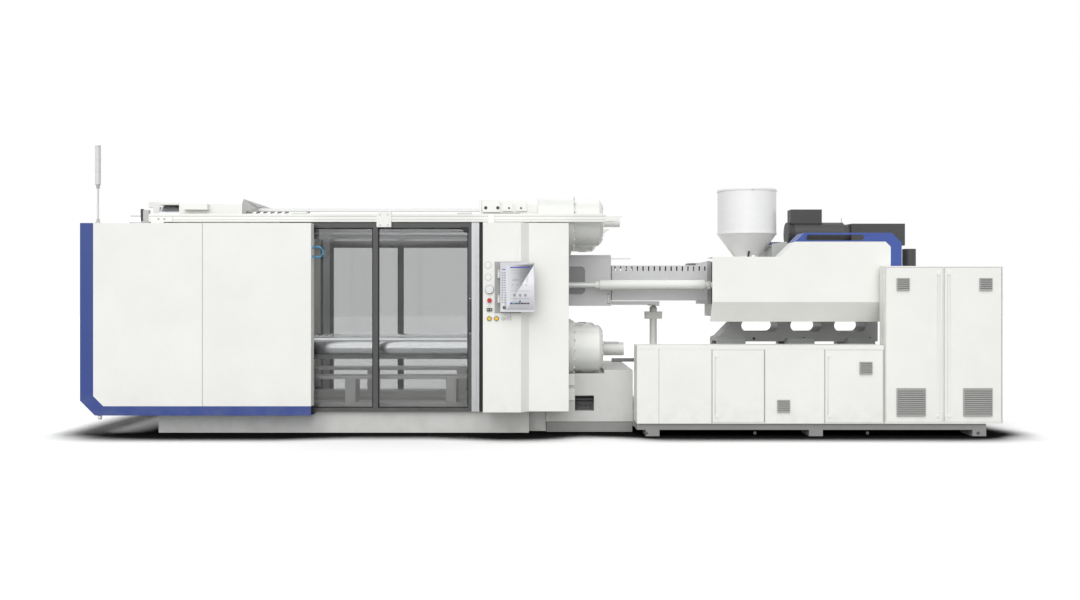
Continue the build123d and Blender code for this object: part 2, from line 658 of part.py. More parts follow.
def cover_band(right):
    """Coloured band down the corner and along the bottom, with its floor plate to the base."""
    cut = COVER_CHAMFER
    inner = 56.0 - 8.0
    points = [(END_X, GUARD_TOP), (END_X, COVER_BOTTOM + cut), (END_X + cut, COVER_BOTTOM)]
    points += [(right, COVER_BOTTOM), (right, BAND_TOP_Z), (END_X + BAND_W + cut - inner, BAND_TOP_Z)]
    points += [(END_X + BAND_W, BAND_TOP_Z + cut - inner), (END_X + BAND_W, GUARD_TOP)]
    depth = (-COVER_Y, SHEET - COVER_Y)
    face = side_plate(points, depth)
    back_y = -COVER_RETURN_Y
    end = block((END_X, END_X + SHEET), (depth[1], back_y), (COVER_BOTTOM + cut, GUARD_TOP))
    floor = block((END_X + cut, right), (depth[1], -BASE_HALF_W), (COVER_BOTTOM, COVER_BOTTOM + SHEET))
    slope = [(END_X, COVER_BOTTOM + cut), (END_X + cut, COVER_BOTTOM)]
    slope += [(END_X + cut, COVER_BOTTOM + SHEET), (END_X + SHEET, COVER_BOTTOM + cut)]
    return face + end + floor + side_plate(slope, (depth[1], back_y))


def end_cover():
    """White sheet that closes the machine's left end between the two bands."""
    inside = COVER_RETURN_Y
    sheet = block((END_X, END_X + SHEET), (-inside, inside), (COVER_BOTTOM + COVER_CHAMFER, GUARD_TOP))
    lip = block((END_X + SHEET, END_X + BAND_W + 80), (-inside, inside), (GUARD_TOP - SHEET, GUARD_TOP))
    slope = [(END_X, COVER_BOTTOM + COVER_CHAMFER), (END_X + COVER_CHAMFER, COVER_BOTTOM)]
    slope += [(END_X + COVER_CHAMFER, COVER_BOTTOM + SHEET), (END_X + SHEET, COVER_BOTTOM + COVER_CHAMFER)]
    return sheet + lip + side_plate(slope, (-inside, inside))


def column(left, bottom, seat_y):
    """Operator column: a folded shell with a nose, open at the back; seat_y is where its floor ends."""
    slant = NOSE_RIGHT + NOSE_SLANT
    back = -COVER_RETURN_Y
    outer = [(left, back), (left, -NOSE_Y), (NOSE_RIGHT, -NOSE_Y), (slant, -COVER_Y)]
    outer += [(COLUMN_RIGHT, -COVER_Y), (COLUMN_RIGHT, back)]
    shift = SHEET / 2
    inner = [(left + SHEET, back + 1), (left + SHEET, SHEET - NOSE_Y), (NOSE_RIGHT - shift, SHEET - NOSE_Y)]
    inner += [(slant - shift, SHEET - COVER_Y), (COLUMN_RIGHT - SHEET, SHEET - COVER_Y)]
    inner += [(COLUMN_RIGHT - SHEET, back + 1)]
    shell = floor_plan(outer, (bottom, GUARD_TOP))
    shell -= floor_plan(inner, (bottom + SHEET, GUARD_TOP - SHEET))
    floor = block((left + 40, BASE_RIGHT), (back, seat_y), (bottom, bottom + SHEET))
    return shell + floor


# Rails, posts and sliding doors
def rail():
    """Hollow rail over the doors with a rounded upper edge."""
    width = grow((-DOOR_Y, -DOOR_Y), RAIL_W / 2)
    body = block(RAIL_X, width, RAIL_Z)
    edges = body.edges().filter_by(Axis.X).sort_by(Axis.Z)[-2:]
    body = fillet(edges, 14)
    wall = 10.0
    return body - block(grow(RAIL_X, 1), grow(width, -wall), grow(RAIL_Z, -wall))


def posts(strike_x):
    """Posts that carry a rail, standing on the base behind the door, and the platen's bracket."""
    back = -DOOR_Y + RAIL_W / 2
    solids = []
    for x in (BASE_LEFT + 40, strike_x):
        upright = block((x, x + RAIL_POST), (back + 20, back + 20 + RAIL_POST), (BASE_TOP, RAIL_Z[1]))
        head = block((x, x + RAIL_POST), (back, back + 21), (RAIL_Z[0] + 10, RAIL_Z[1] - 10))
        solids.append(upright + head)
    neck = block((COLUMN_LEFT + RAIL_NECK[0], COLUMN_LEFT + RAIL_NECK[1]), (back, -PLATEN_HALF_W), (RAIL_Z[0] + 10, RAIL_Z[1] - 10))
    return solids + [neck]


def rail_ends():
    """Gussets on the rail's right end."""
    x = RAIL_X[1]
    points = [(x, RAIL_Z[0] + 10), (x + 100, RAIL_Z[0] + 10), (x + 172, RAIL_Z[1] - 20), (x, RAIL_Z[1] - 20)]
    return side_plate(points, (-DOOR_Y - 30, -DOOR_Y + 30))


DOOR_Z = (DOOR_BOTTOM, RAIL_Z[0] - HANGER_GAP)
DOOR_DEPTH = (-DOOR_Y - DOOR_T / 2, -DOOR_Y + DOOR_T / 2)


def door_zones(span, lead, top_bar):
    """Limits of a door's parts; lead is 1 when it closes to the right and -1 to the left."""
    close, far = (span[1], span[0]) if lead > 0 else (span[0], span[1])
    seal_in = close - lead * DOOR_SEAL_W
    edge_in = seal_in - lead * DOOR_EDGE_W
    bar_in = edge_in - lead * DOOR_SIDE_BAR
    far_in = far + lead * DOOR_SIDE_BAR
    middle = (edge_in + far) / 2
    return {"seal": sorted((close, seal_in)), "edge": sorted((seal_in, edge_in)),
            "frame": sorted((edge_in, far)), "glass": sorted((bar_in, far_in)),
            "bar": grow((middle, middle), DOOR_BAR / 2),
            "height": (DOOR_Z[0] + DOOR_LOW_BAR, DOOR_Z[1] - top_bar)}


def door_frame(zones):
    body = block(zones["frame"], DOOR_DEPTH, DOOR_Z)
    body -= block(zones["glass"], grow(DOOR_DEPTH, 1), zones["height"])
    return body + block(zones["bar"], DOOR_DEPTH, zones["height"])


def door_panes(zones):
    depth = grow((-DOOR_Y, -DOOR_Y), GLASS_T / 2)
    left = (zones["glass"][0], zones["bar"][0])
    right = (zones["bar"][1], zones["glass"][1])
    return [block(left, depth, zones["height"]), block(right, depth, zones["height"])]


def door_edge(zones):
    """Drawn profile with flutes down both faces."""
    body = block(zones["edge"], DOOR_DEPTH, DOOR_Z)
    flute = 12.0
    for i in range(3):
        x = zones["edge"][0] + DOOR_EDGE_W * (i + 1) / 4
        span = grow((x, x), flute / 2)
        body -= block(span, (DOOR_DEPTH[0] - 1, DOOR_DEPTH[0] + 4), grow(DOOR_Z, 1))
        body -= block(span, (DOOR_DEPTH[1] - 4, DOOR_DEPTH[1] + 1), grow(DOOR_Z, 1))
    return body


def door_seal(zones):
    return block(zones["seal"], grow(DOOR_DEPTH, -6), DOOR_Z)


def door_hanger(x, side):
    """Plate on the door with a shoe that slides on top of the rail; side is -1 in front of the rail, 1 behind."""
    near = RAIL_W / 2 + HANGER_GAP
    plate_y = sorted((side * near - DOOR_Y, side * (near + HANGER_T) - DOOR_Y))
    foot_y = sorted((side * near - DOOR_Y, side * DOOR_T / 2 - DOOR_Y))
    shoe_y = sorted((side * near - DOOR_Y, -side * RAIL_W / 2 - DOOR_Y))
    span = grow((x, x), HANGER_W / 2)
    low = DOOR_Z[1] - DOOR_TOP_BAR + 6
    shoe_z = (RAIL_Z[1] + SEAT, RAIL_Z[1] + 20)
    return block(span, plate_y, (low, shoe_z[1])) + block(span, foot_y, (low, DOOR_Z[1])) + block(span, shoe_y, shoe_z)


def door_hangers(zones, ends_side):
    """Three hangers; the middle one is always in front of the rail."""
    inset = HANGER_W / 2 if ends_side < 0 else HANGER_W / 2 + HANGER_INSET
    left = door_hanger(zones["frame"][0] + inset, ends_side)
    right = door_hanger(zones["frame"][1] - HANGER_W / 2, ends_side)
    return [left, door_hanger(sum(zones["bar"]) / 2 + 90, -1), right]


# Operator panel and switches
PANEL_Y = (-NOSE_Y - HMI_STAND_OFF - HMI[2], -NOSE_Y - HMI_STAND_OFF)
HMI_X = (HMI_LEFT, HMI_LEFT + HMI[0])
HMI_Z = (HMI_BOTTOM, HMI_BOTTOM + HMI[1])
PIN_X = HMI_LEFT - 14.0
PIN_Y = -NOSE_Y - HMI_STAND_OFF + 10.0
KNUCKLES = ((HMI_Z[0] + 110, HMI_Z[0] + 170), (HMI_Z[1] - 130, HMI_Z[1] - 70))


def hmi_panel():
    """Screen housing, hinged at its left edge on two knuckles."""
    screen = grow((HMI_X[1] - HMI_SCREEN[0] / 2 - 6, HMI_X[1] - HMI_SCREEN[0] / 2 - 6), HMI_SCREEN[0] / 2)
    tall = grow((sum(HMI_Z) / 2, sum(HMI_Z) / 2), HMI_SCREEN[1] / 2)
    body = block(HMI_X, PANEL_Y, HMI_Z)
    body -= block(screen, (PANEL_Y[0] - 1, PANEL_Y[0] + HMI_SCREEN[2]), tall)
    for low, high in KNUCKLES:
        tab = block((PIN_X, HMI_X[0] + 20), (PANEL_Y[1] - 1, PIN_Y + 12), (low, high))
        tab += rod_z(HMI_PIN_R + 6, PIN_X, PIN_Y, (low, high))
        body += tab - rod_z(HMI_PIN_R + RUN, PIN_X, PIN_Y, grow((low, high), 1))
    return body


def hmi_screen():
    screen = grow((HMI_X[1] - HMI_SCREEN[0] / 2 - 6, HMI_X[1] - HMI_SCREEN[0] / 2 - 6), HMI_SCREEN[0] / 2)
    tall = grow((sum(HMI_Z) / 2, sum(HMI_Z) / 2), HMI_SCREEN[1] / 2)
    return block(screen, (PANEL_Y[0], PANEL_Y[0] + HMI_SCREEN[2]), tall)


def hmi_bracket():
    """Back plate on the column with the hinge pins."""
    plate = block((HMI_LEFT - 55, NOSE_RIGHT - 5), (-NOSE_Y - 8, -NOSE_Y), grow(HMI_Z, 8))
    knuckle = HMI_PIN_R + 6
    for low, high in KNUCKLES:
        for span in ((low - 12 - SEAT, low - SEAT), (high + SEAT, high + 12 + SEAT)):
            plate += rod_z(knuckle, PIN_X, PIN_Y, span)
            plate += block((PIN_X - knuckle, PIN_X + knuckle), (PIN_Y, -NOSE_Y - 7), span)
        plate += rod_z(HMI_PIN_R, PIN_X, PIN_Y, (low - 12, high + 12))
    return plate


def button(x, z, radius):
    """Push button with its stem in the column's sheet."""
    face = -NOSE_Y - BEZEL_T
    cap = rod_y(radius, x, (face - BUTTON_PROUD, face - BUTTON_TRAVEL - 1), z)
    return cap + rod_y(BUTTON_STEM_R, x, (face - BUTTON_TRAVEL - 2, 14 - NOSE_Y), z)


def emergency_stop():
    face = -NOSE_Y - BEZEL_T
    head = rod_y(ESTOP_R, SWITCH_X, (face - 30, face - 14), ESTOP_Z)
    neck = rod_y(ESTOP_R - 7, SWITCH_X, (face - 15, face - BUTTON_TRAVEL - 1), ESTOP_Z)
    return head + neck + rod_y(BUTTON_STEM_R, SWITCH_X, (face - BUTTON_TRAVEL - 2, 14 - NOSE_Y), ESTOP_Z)


def switch_places():
    return [(SWITCH_X, ESTOP_Z, ESTOP_R)] + [(x, BUTTON_Z, r) for x, r in zip(BUTTON_X, BUTTON_R)]


def bezels():
    """Rings round the switches, flat on the column."""
    rings = []
    for x, z, radius in switch_places():
        ring = rod_y(radius + 3, x, (-NOSE_Y - BEZEL_T, -NOSE_Y), z)
        rings.append(ring - rod_y(BUTTON_STEM_R + RUN, x, grow((-NOSE_Y - BEZEL_T, -NOSE_Y), 1), z))
    return rings


def gauge():
    body = rod_y(GAUGE_R, SWITCH_X, (-NOSE_Y - 22, -NOSE_Y), GAUGE_Z)
    return body - rod_y(GAUGE_R - 6, SWITCH_X, (-NOSE_Y - 23, -NOSE_Y - 16), GAUGE_Z)


def column_fittings():
    """Socket and blank plugs."""
    socket = block(grow((SWITCH_X, SWITCH_X), 27), (-NOSE_Y - 14, -NOSE_Y), grow((SOCKET_Z, SOCKET_Z), 16))
    plugs = [rod_y(PLUG_R, SWITCH_X - 14, (-NOSE_Y - 3, -NOSE_Y), z) for z in PLUG_Z]
    return [socket] + plugs


def front_column():
    body = column(COLUMN_LEFT, BASE_TOP, -BASE_HALF_W + 30)
    for x, z, _ in switch_places():
        body -= rod_y(BUTTON_STEM_R + RUN, x, (-NOSE_Y - 1, SHEET - NOSE_Y + 1), z)
    return body


# Signal lamp
def lamp_pole():
    x, y = LAMP_XY
    return rod_z(LAMP_POLE_R, x, y, (GUARD_TOP, LAMP_Z[0])) + rod_z(30, x, y, (GUARD_TOP, GUARD_TOP + 10))


def lamp_tube():
    x, y = LAMP_XY
    return rod_z(LAMP_R, x, y, LAMP_Z)


# Middle bed between the clamp and the injection unit, and the nozzle guard above it
def middle_bed():
    wide = (-MID_HALF_W, MID_HALF_W)
    body = block(MID_X, wide, MID_Z[:2])
    for x, low, high in zip(MID_STEP_X, MID_Z[1:], MID_Z[2:]):
        body += block((x, MID_X[1]), wide, (low, high))
    left, right, low, high, depth = MID_RECESS
    pocket = block((left, right), (-MID_HALF_W - 1, depth - MID_HALF_W), (low, high))
    body -= [pocket, at_back(pocket)]
    for x in MID_FEET_X:
        for foot in both(block(grow((x, x), 50), (-MID_HALF_W + 20, 120 - MID_HALF_W), (PAD_H, MID_Z[0]))):
            body += foot
    return body


def middle_pads():
    return [pad for x in MID_FEET_X for pad in both(rod_z(45, x, 70 - MID_HALF_W, (0, PAD_H)))]


def nozzle_guard():
    """Sliding sheet box round the nozzle with a rounded window in each side; it passes over the barrel cover."""
    width = (-GUARD_HALF_W, GUARD_HALF_W)
    body = block(GUARD_X, width, GUARD_Z)
    body -= block(grow(GUARD_X, 1), grow(width, -GUARD_T), grow(GUARD_Z, -GUARD_T))
    right = 472.0
    window_z = grow((AXIS_Z + 57, AXIS_Z + 57), GUARD_WINDOW[1] / 2)
    window = block((right - GUARD_WINDOW[0], right), grow(width, 1), window_z)
    window = fillet(window.edges().filter_by(Axis.Y).group_by(Axis.X)[-1], 50)
    slot = block((GUARD_X[1] - 37, GUARD_X[1] - 16), grow(width, 1), (GUARD_Z[0] + 20, GUARD_Z[0] + 132))
    body -= window + slot
    length, height = GUARD_SHOE
    low = GUARD_RAIL_Z + GUARD_RAIL[1] + SEAT
    for side in (-1, 1):
        y = sorted((side * (GUARD_HALF_W - GUARD_T), side * (COVER_TUBE_HALF_W + 5)))
        for x in (GUARD_X[0] + 20, GUARD_X[1] - 40 - length):
            body += block((x, x + length), y, (low, low + height))
    return body


def guard_rails():
    """Two rails inside the nozzle guard, from the fixed platen to a cross arm on the support post."""
    right = POST_X + 22
    z = (GUARD_RAIL_Z, GUARD_RAIL_Z + GUARD_RAIL[1])
    arm = block((POST_X - 22, right), (-GUARD_RAIL_Y, GUARD_RAIL_Y), (POST_Z, GUARD_RAIL_Z))
    for side in (-1, 1):
        y = sorted((side * GUARD_RAIL_Y, side * (GUARD_RAIL_Y - GUARD_RAIL[0])))
        arm += block((FIXED_X[1], right), y, z)
    return arm


# Injection bed, carriage and barrel
def injection_bed():
    """Welded frame: floor strip, legs and the two ways that the carriage slides on."""
    wide = (CAB_DEPTH - COVER_Y, COVER_Y - CAB_DEPTH)
    deck = 90.0
    inner = (TALL_X[0] - 50, BED_X[1] - 40)
    body = block((MID_X[1], BED_X[1] - 40), wide, (BED_FLOOR_Z[0], BED_FLOOR_Z[1] + deck))
    body -= block(inner, (-COVER_Y, TALL_DEPTH - COVER_Y + 30), (0, BED_TOP))
    for way in both(block((BED_WAY_LEFT, inner[0]), BED_WAY_Y, (BED_FLOOR_Z[1], BED_TOP))):
        body += way
    return body


def floor_strips():
    """Side strips under the cabinets with the machine feet."""
    strips = []
    span = (BED_X[0], FEET_X[-1] + FOOT_W / 2)
    for side in (-1, 1):
        y = sorted((side * (COVER_Y - 30), side * (COVER_Y - CAB_DEPTH)))
        strip = block(span, y, BED_FLOOR_Z)
        for x in FEET_X:
            strip += block(grow((x, x), FOOT_W / 2), sorted((y[0], y[1])), (0, BED_FLOOR_Z[0]))
        strips.append(strip)
    return strips


def capsule(left, width):
    """Tool for a round-ended hole right through the carriage."""
    low, high = SLOT_Z
    radius = (high - low) / 2
    tool = block((left + radius, left + width - radius), grow((0, 0), CARRIAGE_HALF_W + 1), SLOT_Z)
    ends = grow((0, 0), CARRIAGE_HALF_W + 1)
    middle = (low + high) / 2
    return tool + rod_y(radius, left + radius, ends, middle) + rod_y(radius, left + width - radius, ends, middle)


def carriage():
    """Casting under the injection unit, on four shoes that run on the ways."""
    wide = (-CARRIAGE_HALF_W, CARRIAGE_HALF_W)
    left, right = CARRIAGE_X
    low, high = CARRIAGE_Z
    nose_x, nose_z = CARRIAGE_NOSE
    outline = [(left, low), (left, nose_z), (left + 20, nose_z), (nose_x, high - 60), (nose_x, high)]
    body = side_plate(outline + [(right, high), (right, low)], wide)
    for left, width in zip(SLOT_X, SLOT_W):
        body -= capsule(left, width)
    for x in (CARRIAGE_X[0], SLOT_X[1] - 60, CARRIAGE_X[1] - CARRIAGE_SHOE - 60):
        span = (x, x + CARRIAGE_SHOE)
        shoe_y = (BED_WAY_Y[0] - 5, BED_WAY_Y[1])
        for shoe in both(block(span, shoe_y, (BED_TOP + SEAT, CARRIAGE_Z[0] + 40))):
            body += shoe
    return body


def barrel():
    points = [(BARREL_X[0] - 60, BORE_R), (BARREL_X[0] - 60, BARREL_R - 40), (BARREL_X[0], BARREL_R)]
    points += [(BARREL_X[1], BARREL_R), (BARREL_X[1], BORE_R)]
    tube = turned(points, 0, AXIS_Z)
    inlet = rod_z(50, HOPPER_X, 0, (AXIS_Z, AXIS_Z + BARREL_R + 5))
    return tube - inlet


def nozzle():
    x = BARREL_X[0] - 60
    tip = NOZZLE_X - 22
    points = [(tip, ORIFICE_R), (tip, NOZZLE_R - 22), (tip + 26, NOZZLE_R), (x - 60, NOZZLE_R)]
    points += [(x - 30, BARREL_R - 40), (x, BARREL_R - 40), (x, BORE_R), (x - 60, ORIFICE_R)]
    return turned(points, 0, AXIS_Z)


def heater_bands():
    rings = []
    for i in range(BAND_COUNT):
        left = BAND_FIRST + i * BAND_PITCH
        ring = rod_x(BARREL_R + BAND_T, (left, left + BAND_LEN), 0, AXIS_Z)
        rings.append(ring - rod_x(BARREL_R, (left - 1, left + BAND_LEN + 1), 0, AXIS_Z))
    return rings


def screw():
    """Plasticising screw: root, ring flights that stand for the helix, and the coupling flange."""
    root = [(SCREW_TIP, 0), (SCREW_TIP + 70, SCREW_ROOT_R)]
    for i in range(FLIGHTS):
        left = SCREW_TIP + 120 + i * FLIGHT_PITCH
        root += [(left, SCREW_ROOT_R), (left, SCREW_R), (left + FLIGHT_W, SCREW_R), (left + FLIGHT_W, SCREW_ROOT_R)]
    root += [(BARREL_X[1] - 80, SCREW_ROOT_R), (BARREL_X[1] - 80, BORE_R - RUN)]
    root += [(THRUST_X[0] - 80, BORE_R - RUN), (THRUST_X[0] - 80, COUPLING_R)]
    root += [(THRUST_X[0] - 20, COUPLING_R), (THRUST_X[0] - 20, SCREW_R), (THRUST_X[1] + 30, SCREW_R), (THRUST_X[1] + 30, 0)]
    return turned(root, 0, AXIS_Z)


def barrel_cover():
    """Sheet cover over the barrel: open at both ends, a row of slots along its upper edge, a rear flange."""
    width = (-COVER_TUBE_HALF_W, COVER_TUBE_HALF_W)
    body = block(COVER_TUBE_X, width, COVER_TUBE_Z)
    left, right = COVER_TUBE_X
    flange = block((right - COVER_FLANGE[0], right), grow(width, 20), COVER_FLANGE[1:])
    body += flange
    body -= block(grow(COVER_TUBE_X, 1), grow(width, -SHEET), grow(COVER_TUBE_Z, -SHEET))
    wide, tall = COVER_TICK
    for i in range(COVER_TICKS):
        x = left + 30 + i * COVER_TICK_PITCH
        body -= block((x, x + wide), grow(width, 1), (COVER_TUBE_Z[1] - 10 - tall, COVER_TUBE_Z[1] - 10))
    return body


def feed_housing():
    """Housing on the carriage that holds the barrel, its wide front plate and the feed throat."""
    body = block((HOUSING_X[0], HOUSING_X[1]), (-HOUSING_HALF_W, HOUSING_HALF_W), (CARRIAGE_Z[1], HOUSING_TOP))
    front = (HOUSING_X[0] - FLANGE_T + 10, HOUSING_X[0] + 10)
    body += block(front, (-FLANGE_HALF_W, FLANGE_HALF_W), (COVER_FLANGE[1], COVER_FLANGE[2] - 10))
    body += rod_z(HOPPER_NECK_R, HOPPER_X, 0, (HOUSING_TOP - 1, HOPPER_Z[0]))
    body -= rod_x(BARREL_R, (front[0] - 1, HOUSING_X[1] + 1), 0, AXIS_Z)
    body -= rod_z(50, HOPPER_X, 0, (AXIS_Z, HOPPER_Z[0] + 1))
    gate = gate_span()
    return body - block(gate[0], (gate[1][0] - 1, HOPPER_NECK_R + 1), grow(gate[2], SEAT))


def gate_span():
    """Limits of the slide gate in the feed throat."""
    half = 95.0
    return ((HOPPER_X - half, HOPPER_X + half), (-HOPPER_NECK_R - 60, 100.0), (HOPPER_Z[0] - 60, HOPPER_Z[0] - 60 + GATE_T))


def shutter():
    x, y, z = gate_span()
    plate = block(grow(x, -SEAT), y, z)
    return plate + block(grow((HOPPER_X + 30, HOPPER_X + 30), 12), (y[0] - 14, y[0]), (z[0], z[0] + 110))


def hopper():
    """Polished steel hopper: cone, seam and cylinder of thin sheet."""
    seat, neck, seam, rim = HOPPER_Z
    x = HOPPER_X
    outer = [(50, seat), (HOPPER_NECK_R + 30, seat), (HOPPER_NECK_R + 30, seat + 12), (HOPPER_NECK_R, seat + 12)]
    outer += [(HOPPER_NECK_R, neck), (HOPPER_R, seam - 8), (HOPPER_R + 5, seam - 8), (HOPPER_R + 5, seam + 8)]
    outer += [(HOPPER_R, seam + 8), (HOPPER_R, rim)]
    wall = HOPPER_WALL
    inner = [(HOPPER_R - wall, rim), (HOPPER_R - wall, seam), (HOPPER_NECK_R - wall, neck + 6)]
    inner += [(HOPPER_NECK_R - wall, neck), (50, seat + 12)]
    face = Plane.XZ * make_face(Polyline(*(outer + inner), close=True))
    shell = Pos(x, 0, 0) * revolve(face, Axis.Z)
    ear_y = (HOPPER_R - 3, HOPPER_R + 34)
    for side in (-1, 1):
        shell += block(sorted((x + side * 40, x + side * 52)), ear_y, (rim - 70, rim - 10))
    return shell + rod_x(5, (x - 52, x + 52), HOPPER_R + 22, rim - 26)


def hopper_lid():
    rim = HOPPER_Z[3]
    x = HOPPER_X
    lid = rod_z(HOPPER_R + 6, x, 0, (rim + SEAT, rim + LID_RIM))
    lid = fillet(lid.edges().group_by(Axis.Z)[-1], 12)
    lid -= rod_z(HOPPER_R - 6, x, 0, (rim, rim + LID_RIM - LID_T))
    arm = block((x - 39.5, x + 39.5), (HOPPER_R - 4, HOPPER_R + 30), (rim - 34, rim + 14))
    arm -= block((x - 41, x + 41), (HOPPER_R - 5, HOPPER_R + 8), (rim - 35, rim + SEAT))
    knob = rod_y(9, x, (-HOPPER_R - 26, -HOPPER_R - 5), rim + 12)
    return lid + knob + (arm - rod_x(5 + RUN, (x - 50, x + 50), HOPPER_R + 22, rim - 26))


# Crosshead, guide rods, end plate and cylinders
def crosshead():
    body = block(THRUST_X, (-THRUST_HALF_W, THRUST_HALF_W), THRUST_Z)
    body -= rod_x(SCREW_R + RUN, grow(THRUST_X, 1), 0, AXIS_Z)
    for y, z in GUIDE_YZ:
        body -= rod_x(GUIDE_R + RUN, grow(THRUST_X, 1), y, z)
    for y in (-INJECT_CYL_Y, INJECT_CYL_Y):
        rod = rod_x(INJECT_ROD_R, (INJECT_PISTON_X, THRUST_X[0] + 5), y, AXIS_Z)
        body += rod + rod_x(INJECT_BORE_R - RUN, (INJECT_PISTON_X, INJECT_PISTON_X + 40), y, AXIS_Z)
    return body


def injection_cylinders():
    solids = []
    start = HOUSING_X[0] + 10
    for y in (-INJECT_CYL_Y, INJECT_CYL_Y):
        body = rod_x(INJECT_CYL_R, (start, INJECT_CYL_END), y, AXIS_Z)
        body -= rod_x(INJECT_BORE_R, (start + 20, INJECT_CYL_END - 40), y, AXIS_Z)
        solids.append(body - rod_x(INJECT_ROD_R + RUN, (INJECT_CYL_END - 41, INJECT_CYL_END + 1), y, AXIS_Z))
    return solids


def drive_stand():
    """End plate, guide rods and the deck over the crosshead."""
    body = block(END_PLATE_X, (-THRUST_HALF_W, THRUST_HALF_W), (CARRIAGE_Z[1], DECK_Z[0] + 1))
    for y, z in GUIDE_YZ:
        body += rod_x(GUIDE_R, (HOUSING_X[1], END_PLATE_X[0] + 1), y, z)
    body += block(DECK_X, (-DECK_HALF_W, DECK_HALF_W), DECK_Z)
    upright = (HOUSING_X[1], HOUSING_X[1] + 40)
    return body + block(upright, (-DECK_HALF_W, DECK_HALF_W), (HOUSING_TOP - 100, DECK_Z[0] + 1))


def drive_motor():
    """Servo motor on the deck with a ribbed cowl and a terminal box on top."""
    body = rod_x(DRIVE_R, DRIVE_X, 0, DRIVE_Z)
    for i in range(4):
        x = DRIVE_X[0] + 14 + i * 16
        body -= rod_x(DRIVE_R + 1, (x, x + 6), 0, DRIVE_Z) - rod_x(DRIVE_R - 8, (x - 1, x + 7), 0, DRIVE_Z)
    left, right, low, high = DRIVE_BOX
    body += block((left, right), (-80, 80), (low - 20, high))
    return body + block(grow(DRIVE_X, -60), (-110, 110), (DECK_Z[1], DRIVE_Z))


def gearbox():
    left, right, low, high = DRIVE_SMALL
    body = block((left, right), (-DRIVE_SMALL_HALF_W, DRIVE_SMALL_HALF_W), (low, high))
    return body + rod_x(DRIVE_NECK_R, (DRIVE_X[1], left + 1), 0, DRIVE_Z)


def cabinet_cooler():
    x, y, radius, height = COOLER
    return rod_z(radius, x, y, (TALL_TOP, TALL_TOP + height))


def carriage_cylinder(side):
    y = side * CAR_CYL_Y
    right = HOUSING_X[0] + 10 - FLANGE_T
    body = rod_x(CAR_CYL_R, CAR_CYL_X, y, CAR_CYL_Z)
    body -= rod_x(CAR_BORE_R, (CAR_CYL_X[0] + CAR_GLAND, CAR_CYL_X[1] - 20), y, CAR_CYL_Z)
    body -= rod_x(CAR_ROD_R + RUN, (CAR_CYL_X[0] - 1, CAR_CYL_X[0] + CAR_GLAND + 1), y, CAR_CYL_Z)
    return body + rod_x(CAR_ROD_R, (CAR_CYL_X[1] - 1, right), y, CAR_CYL_Z)


def carriage_rod(side):
    y = side * CAR_CYL_Y
    rod = rod_x(CAR_ROD_R, (FIXED_X[1], CAR_PISTON_X), y, CAR_CYL_Z)
    return rod + rod_x(CAR_BORE_R - RUN, (CAR_PISTON_X - 40, CAR_PISTON_X), y, CAR_CYL_Z)


def support_post():
    """Screw jack under the barrel cover, on a cross plate between the ways."""
    foot = block(grow((POST_X, POST_X), 90), (-BED_WAY_Y[0], BED_WAY_Y[0]), (BED_TOP - 40, BED_TOP))
    head = rod_z(POST_R - 4, POST_X, 0, (BED_TOP, POST_Z))
    head = fillet(head.edges().group_by(Axis.Z)[-1], 30)
    return foot + head + block(grow((POST_X, POST_X), 96), (-45, 45), POST_CLAMP_Z)


# Covers of the injection unit
SHROUD_DEPTH_Y = (-SHROUD_Y, SHROUD_DEPTH - SHROUD_Y)


def injection_cover(step):
    """Folded white cover, open at its left: face, roof, lower bevel and two ribs. Its lower edge can step up."""
    left, bend, arch, right = SHROUD_X
    bevel_low, low, shoulder, high = SHROUD_Z
    step_x, step_z = step or (left, low)
    cut = SHROUD_CORNER
    face = [(left, step_z), (left, shoulder), (bend, shoulder), (arch, high), (right - cut, high)]
    face += [(right, high - cut), (right, low)]
    if step:
        face += [(step_x, low), (step_x, step_z)]
    inner = [(left - 1, low - 1), (left - 1, shoulder - SHEET), (bend + 2, shoulder - SHEET)]
    inner += [(arch + 2, high - SHEET), (right - cut - 2, high - SHEET), (right - SHEET, high - cut - 2)]
    inner += [(right - SHEET, low - 1)]
    shell = side_plate(face, SHROUD_DEPTH_Y) - side_plate(inner, (SHEET - SHROUD_Y, SHROUD_DEPTH_Y[1] + 1))
    tuck = SHROUD_TUCK
    bevel = [(-SHROUD_Y, low), (tuck - SHROUD_Y, bevel_low), (tuck + SHEET - SHROUD_Y, bevel_low)]
    bevel += [(SHEET - SHROUD_Y, low)]
    shell += end_plate(bevel, (step_x, right))
    reach = (SHEET - SHROUD_Y, -FLANGE_HALF_W)
    front_rib = (HOUSING_X[0] + 10 - FLANGE_T, HOUSING_X[0] + 10)
    shell += block(front_rib, reach, (low + 60, shoulder - 60))
    return shell + block(grow(END_PLATE_X, -10), (reach[0], -THRUST_HALF_W), (low + 60, shoulder - 60))


